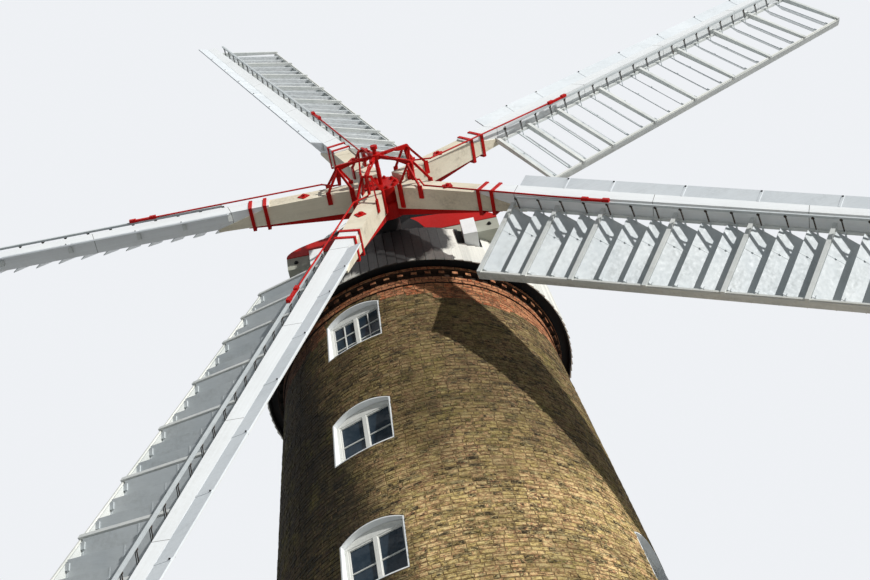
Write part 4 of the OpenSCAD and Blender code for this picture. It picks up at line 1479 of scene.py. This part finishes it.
@dataclass
class CapTimbers:
    """Weather beam, sheers, tail beam and ironwork that carry the windshaft."""

    beam_front: float = -2.40
    beam_half: float = 1.86
    beam_top: float = 20.121
    arch: float = 0.46
    facing_parts: int = 44
    facing_t: float = 0.014
    facing_foot: float = 0.012
    bolt_in: float = 0.16
    bolt_down: float = 0.15
    bolt_w: float = 0.05
    guard_z: float = 20.117
    guard_r: float = 0.59

    def build(self) -> None:
        """Dresses the timbers and adds the beam's red facing."""
        self.facing()
        self.beam_bolts()
        # The beam's grey is painted shade
        dress("weather_beam", BEAM_SHADE_GREY, "beam_grey")
        dress("fan_stage fan_posts", WHITE, "stage_white")
        dress("sheers", WHITE, "sheer_white", grain_axis=1)
        dress("tail_beam", BARE_WOOD, "tail_beam_wood")
        dress("curb cap_ring neck_bearing windshaft", BLACK_METAL, "curb_iron")
        dress("ground_floor upper_floors", BARE_WOOD, "floor_wood")
        dress("fan", RED_WOOD, "fan_red", grain_axis=2)

    def facing(self) -> None:
        """Fills the arch over the weather beam, round the shaft's guard, with thin strips."""
        facing = Joinery(61)
        place = move(y=self.beam_front) @ TO_FRONT
        count = self.facing_parts
        xs = [-self.beam_half * math.cos(math.pi * i / count) for i in range(count + 1)]
        low = [max(self.beam_top, self.guard_z + math.sqrt(max(self.guard_r ** 2 - x * x, 0))) for x in xs]
        bow = [math.sqrt(max(1 - (x / self.beam_half) ** 2, 0)) for x in xs]
        high = [self.beam_top + self.facing_foot + self.arch * b for b in bow]
        for i, j in zip(range(count), range(1, count + 1)):
            if min(high[i] - low[i], high[j] - low[j]) > 0.002:
                outline = [(xs[i], low[i]), (xs[j], low[j]), (xs[j], high[j]), (xs[i], high[i])]
                facing.prism(place, outline, 0.0, self.facing_t)
        facing.piece("beam_facing", RED_WOOD.material("beam_red"), Body.CAP, Slot.RED_TIMBER)

    def beam_bolts(self) -> None:
        """Puts a nut on each end of the weather beam."""
        across, level = self.beam_half - self.bolt_in, self.beam_top - self.bolt_down
        places = [move(side * across, self.beam_front, level) @ TO_FRONT @ Matrix.Scale(self.bolt_w, 4)
                  for side in (-1, 1)]
        iron = BLACK_METAL.material("beam_bolt_iron")
        PlacedCopies.at("beam_bolts", bolt_form("beam_bolt_form"), places, iron, Body.CAP, Slot.BLACK_IRON)


# Sails


@dataclass(frozen=True)
class SailPlan:
    """Sizes of the sails that their dressing follows, and the frame of each sail."""

    hub: Point = (0.0, -3.48, 20.357)
    tilt: float = 12.5
    turn: float = -36.85
    count: int = 5
    tip: float = 11.26
    heel: float = 2.612
    pitch: float = 0.392
    bays: tuple[int, ...] = (2, 2, 3, 3, 3, 3, 3, 3)
    weather_heel: float = 22.0
    weather_tip: float = 14.0
    drop: float = 0.150
    whip_start: float = 1.93
    whip_w: float = 0.30
    whip_tip_w: float = 0.17
    vane_up: float = -0.105
    vane_in: float = 0.2465
    vane_l: float = 1.2835
    vane_w: float = 0.384
    vane_t: float = 0.014
    vane_turn: float = 36.0
    crank_in: float = 0.2865
    crank_foot: Point = (-0.075, -0.190, 0.225)
    leader_w: float = 0.24
    leader_t: float = 0.022
    leader_slope: float = 20.0
    leader_drop: float = 0.024

    def shaft(self) -> Matrix:
        """Frame of the windshaft, Z forward."""
        return move(*self.hub) @ spin(math.radians(90 - self.tilt), "X")

    def sail(self, index: int) -> Matrix:
        """Frame of a sail: X out along the whip, Y to the leading side, Z forward."""
        return self.shaft() @ spin(math.radians(self.turn + 360 / self.count * index), "Z")

    @property
    def span(self) -> float:
        """Length of the shuttered part."""
        return sum(self.bays) * self.pitch

    def weather(self, r: float) -> float:
        """Weather angle at a radius."""
        share = (r - self.heel) / self.span
        return math.radians(self.weather_heel + (self.weather_tip - self.weather_heel) * share)

    def surface(self, index: int, r: float) -> Matrix:
        """Frame on the sail surface at a radius, Y along the bars."""
        return self.sail(index) @ move(r, 0, -self.drop) @ spin(self.weather(r), "X")

    def whip_half(self, r: float) -> float:
        """Half of the whip's width."""
        share = (r - self.whip_start) / (self.tip - self.whip_start)
        return (self.whip_w + (self.whip_tip_w - self.whip_w) * share) / 2

    def vane(self, index: int, r: float) -> Matrix:
        """Frame on a vane's pivot, X across the vane and Z out of its front."""
        return self.surface(index, r) @ move(z=self.vane_up) @ spin(math.radians(self.vane_turn), "Y")

    def leader(self, index: int, r: float) -> Matrix:
        """Frame on the leading board at a radius, X along the board and Z out of its front.

        Args:
            index: Number of the sail, from 0.
            r: The radius.

        Returns:
            The frame.
        """
        slant = math.atan((self.whip_w - self.whip_tip_w) / 2 / (self.tip - self.whip_start))
        slope = math.radians(self.leader_slope)
        start = (self.heel, self.whip_half(self.heel) + self.leader_t * math.sin(slope), -self.leader_drop)
        return (self.sail(index) @ move(*start) @ spin(-slant, "Z") @ spin(slope, "X")
                @ move(r - self.heel, 0, self.leader_t))

    def vanes(self) -> list[float]:
        """Radius of every shutter's pivot."""
        return [self.heel + self.pitch * (n + 0.5) for n in range(sum(self.bays))]

    def bars(self) -> list[float]:
        """Radius of every sail bar."""
        return [self.heel + self.pitch * sum(self.bays[:n]) for n in range(len(self.bays) + 1)]


@dataclass
class Sails:
    """Paint, joints and small fittings of the five sails."""

    plan: SailPlan = field(default_factory=SailPlan)
    whip_joint: float = 2.352
    soiled: float = 2.3
    knob_share: float = 0.36
    knob_at: float = -0.06
    knob_r: float = 0.017
    knob_sides: int = 8
    eye_r: float = 0.025
    eye_half: float = 0.017
    crank_w: float = 0.028
    crank_t: float = 0.017
    strap_w: float = 0.05
    strap_t: float = 0.006
    nut_in: float = 0.025
    nut_w: float = 0.019
    batten_parts: int = 12
    batten_y: Range = (-1.5915, -1.566)
    batten_z: Range = (-0.012, 0.012)
    nose_front: float = -0.07
    nose_nuts: int = 10
    nose_nut_r: float = 0.245
    nose_nut: float = 0.055

    def build(self) -> None:
        """Dresses every sail."""
        nut = bolt_form("sail_bolt_form")
        forms = (self.vane_form(), self.crank_form(), strap_form())
        for index in range(self.plan.count):
            where = self.plan.sail(index)
            number = index + 1
            dress(f"whip_{number}", WHITE, f"whip_white_{number}", frame_of=where, joints=self.whip_joint,
                  first_joint=self.plan.heel, soiled=self.soiled)
            dress(f"sail_frame_{number}", LATTICE_WHITE, f"lattice_white_{number}", frame_of=where)
            dress(f"shutters_{number}", VANE_WHITE, f"shutter_white_{number}", frame_of=where, grain_axis=1)
            self.hem_batten(index)
            self.fittings(index, nut, *forms)
        dress("sail_backs", BACK_WHITE, "back_white")
        dress("leading_boards", LEADER_WHITE, "leader_white")
        dress("iron_cross sail_clamps spider crank_stands bell_cranks crank_links striking_rods", RED_METAL,
              "gear_red")
        self.nose(nut)

    def vane_form(self) -> Item:
        """Batten, knob and end clip of one vane, in the vane's own frame.

        Returns:
            The object that is copied.
        """
        plan = self.plan
        wood = Joinery(71)
        front = plan.vane_t / 2
        seam = -plan.vane_in - self.knob_share * plan.vane_l
        end = -plan.vane_in - plan.vane_l
        flat = Matrix.Identity(4)
        wood.box(flat, (-plan.vane_w / 2, seam - 0.01, front), (plan.vane_w / 2, seam + 0.01, front + 0.003))
        knob = [(self.knob_at + x, seam + y) for x, y in circle(self.knob_r, self.knob_sides)]
        wood.prism(flat, knob, front, front + 0.018)
        for x in (-plan.vane_w * 0.26, plan.vane_w * 0.26):
            wood.box(flat, (x - 0.045, end - 0.012, front), (x + 0.045, end + 0.045, front + 0.02))
        wood.box(flat, (-0.03, end - 0.014, -0.03), (0.03, end + 0.02, front + 0.004))
        return template("vane_form", wood.points, wood.faces)

    def crank_form(self) -> Item:
        """Iron crank from a vane to the shutter bar with its eye, in the frame of the sail surface.

        Returns:
            The object that is copied.
        """
        plan = self.plan
        iron = Joinery(72)
        start = Vector((0, -plan.crank_in, plan.vane_up))
        end = Vector(plan.crank_foot)
        iron.bar(start.lerp(end, 0.4), start.lerp(end, 0.92), self.crank_w, self.crank_t, Vector((1, 0, 0)))
        eye = start.lerp(end, 0.93)
        ring = [eye + self.eye_r * Vector((x, 0, z)) for x, z in circle(1.0, self.knob_sides)]
        iron.solid(*([p + Vector((0, y, 0)) for p in ring] for y in (-self.eye_half, self.eye_half)))
        return template("crank_form", iron.points, iron.faces)

    def fittings(self, index: int, nut: Item, vane: Item, crank: Item, strap: Item) -> None:
        """Adds the small fittings of one sail.

        Args:
            index: Number of the sail, from 0.
            nut: Nut that is copied.
            vane: Fittings of one vane.
            crank: Crank of one vane.
            strap: Strap that is copied.
        """
        plan = self.plan
        width = plan.leader_w
        vanes = [plan.vane(index, r) for r in plan.vanes()]
        irons = [plan.surface(index, r) for r in plan.vanes()]
        leader = [plan.leader(index, r) for r in plan.bars()[1:-1]]
        size = Matrix.Diagonal((self.strap_w, width * 0.98, self.strap_t, 1))
        straps = [place @ move(y=width / 2) @ size for place in leader]
        nuts = [place @ move(0, width - self.nut_in, self.strap_t) @ Matrix.Scale(self.nut_w, 4)
                for place in leader]
        for name, form, places, finish, paint, slot in (
                ("vane_fittings", vane, vanes, VANE_WHITE, "vane_white", Slot.SHUTTER),
                ("vane_irons", crank, irons, VANE_IRON, "vane_iron", Slot.BLACK_IRON),
                ("leader_straps", strap, straps, LEADER_WHITE, "strap_white", Slot.WHITE),
                ("leader_nuts", nut, nuts, BLACK_METAL, "nut_iron", Slot.BLACK_IRON)):
            PlacedCopies.at(f"{name}_{index + 1}", form, places, finish.material(f"{paint}_{index + 1}"),
                            Body.SAILS, slot, index)

    def hem_batten(self, index: int) -> None:
        """Nails a batten on the front of one sail's hemlath, along its outer edge.

        Args:
            index: Number of the sail, from 0.
        """
        plan = self.plan
        wood = Joinery(75 + index)
        (near, far), (low, high) = self.batten_y, self.batten_z
        corner = [Vector((0, *at)) for at in ((near, low), (far, low), (far, high), (near, high))]
        radii = [plan.heel + plan.span * n / self.batten_parts for n in range(self.batten_parts + 1)]
        rings = [[plan.surface(index, r) @ at for at in corner] for r in radii]
        for ring, other in zip(rings, rings[1:]):
            wood.solid(ring, other, other[0] - ring[0])
        wood.piece(f"hem_batten_{index + 1}", BOARD_WHITE.material(f"batten_white_{index + 1}"), Body.SAILS,
                   Slot.WHITE)

    def nose(self, nut: Item) -> None:
        """Puts a ring of nuts on the front of the cross.

        Args:
            nut: Nut that is copied.
        """
        place = self.plan.shaft() @ move(z=self.nose_front)
        places = [place @ spin(math.tau * n / self.nose_nuts, "Z") @ move(self.nose_nut_r)
                  @ Matrix.Scale(self.nose_nut, 4) for n in range(self.nose_nuts)]
        PlacedCopies.at("nose_nuts", nut, places, RED_METAL.material("nut_red"), Body.SAILS, Slot.RED_IRON)


# Studio


@dataclass
class Studio:
    """Pale floor and backdrop, plain light, and the camera."""

    eye: Point = (-0.091, -16.037, 1.585)
    right: Point = (0.97929, 0.13886, -0.14733)
    up: Point = (0.20051, -0.76584, 0.61098)
    lens: float = 54.70
    floor_half: float = 90.0
    sun: Point = (46.0, 10.0, 3.8)
    back_lamp: Point = (184.0, 14.0, 1.1)
    sky: Point = (0.74, 0.86, 1.0)
    sky_power: float = 0.14
    backdrop: Point = (0.86, 0.88, 0.91)

    def build(self) -> None:
        """Builds the floor, the light and the camera."""
        self.floor()
        self.lamp("key_lamp", *self.sun, 1.2)
        self.lamp("back_lamp", *self.back_lamp, 30.0)
        self.world()
        self.camera()

    def floor(self) -> None:
        """Lays the floor."""
        mesh = bpy.data.meshes.new("studio_floor")
        square = oblong(self.floor_half, self.floor_half)
        mesh.from_pydata([(x, y, 0) for x, y in square], [], [(0, 1, 2, 3)])
        mesh.materials.append(FLOOR.material("studio_floor"))
        show("studio_floor", mesh)

    def world(self) -> None:
        """Lights the object evenly and shows a pale backdrop behind it, in metal and glass too."""
        world = bpy.data.worlds.new("studio_world")
        world.use_nodes = True
        desk = Wiring(world.node_tree)
        rays = desk.add("ShaderNodeLightPath").outputs
        mirrored = desk.maths("MAXIMUM", rays["Is Glossy Ray"], rays["Is Transmission Ray"])
        seen = desk.maths("MAXIMUM", rays["Is Camera Ray"], mirrored)
        fill, back = (desk.add("ShaderNodeBackground", {"Color": colour, "Strength": power}).outputs[0]
                      for colour, power in ((self.sky, self.sky_power), (self.backdrop, 1.0)))
        mix = desk.add("ShaderNodeMixShader", {0: seen, 1: fill, 2: back})
        desk.add("ShaderNodeOutputWorld", {"Surface": mix.outputs[0]})
        bpy.context.scene.world = world

    def lamp(self, name: str, turn: float, height: float, power: float, spread: float) -> None:
        """Hangs one distant lamp.

        Args:
            name: Name of the lamp.
            turn: Direction it stands in, in degrees from -Y towards +X.
            height: Degrees above the floor.
            power: Strength.
            spread: Angle that it fills, in degrees.
        """
        lamp = bpy.data.lights.new(name, "SUN")
        lamp.energy = power
        lamp.angle = math.radians(spread)
        lamp.color = (1.0, 0.99, 0.97)
        turn, height = math.radians(turn), math.radians(height)
        across = math.cos(height)
        towards = Vector((math.sin(turn) * across, -math.cos(turn) * across, math.sin(height)))
        show(name, lamp).rotation_euler = towards.to_track_quat("Z", "Y").to_euler()

    def camera(self) -> None:
        """Sets up the camera."""
        data = bpy.data.cameras.new("camera")
        data.lens = self.lens
        data.sensor_fit = "HORIZONTAL"
        data.sensor_width = 36.0
        data.clip_end = 500.0
        camera = show("camera", data)
        right = Vector(self.right).normalized()
        up = Vector(self.up).normalized()
        back = right.cross(up).normalized()
        camera.matrix_world = move(*self.eye) @ Matrix((right, up, back)).transposed().to_4x4()
        bpy.context.scene.camera = camera
        bpy.context.scene.view_settings.view_transform = "Standard"


def main() -> None:
    """Builds the pieces in order."""
    logging.basicConfig(level=logging.INFO, format="%(name)s %(message)s")
    for part in (TowerBrickwork, Cornice, Windows, Doors, CapBoards, CapTimbers, Sails, Studio):
        part().build()


if __name__ == "__main__":
    main()
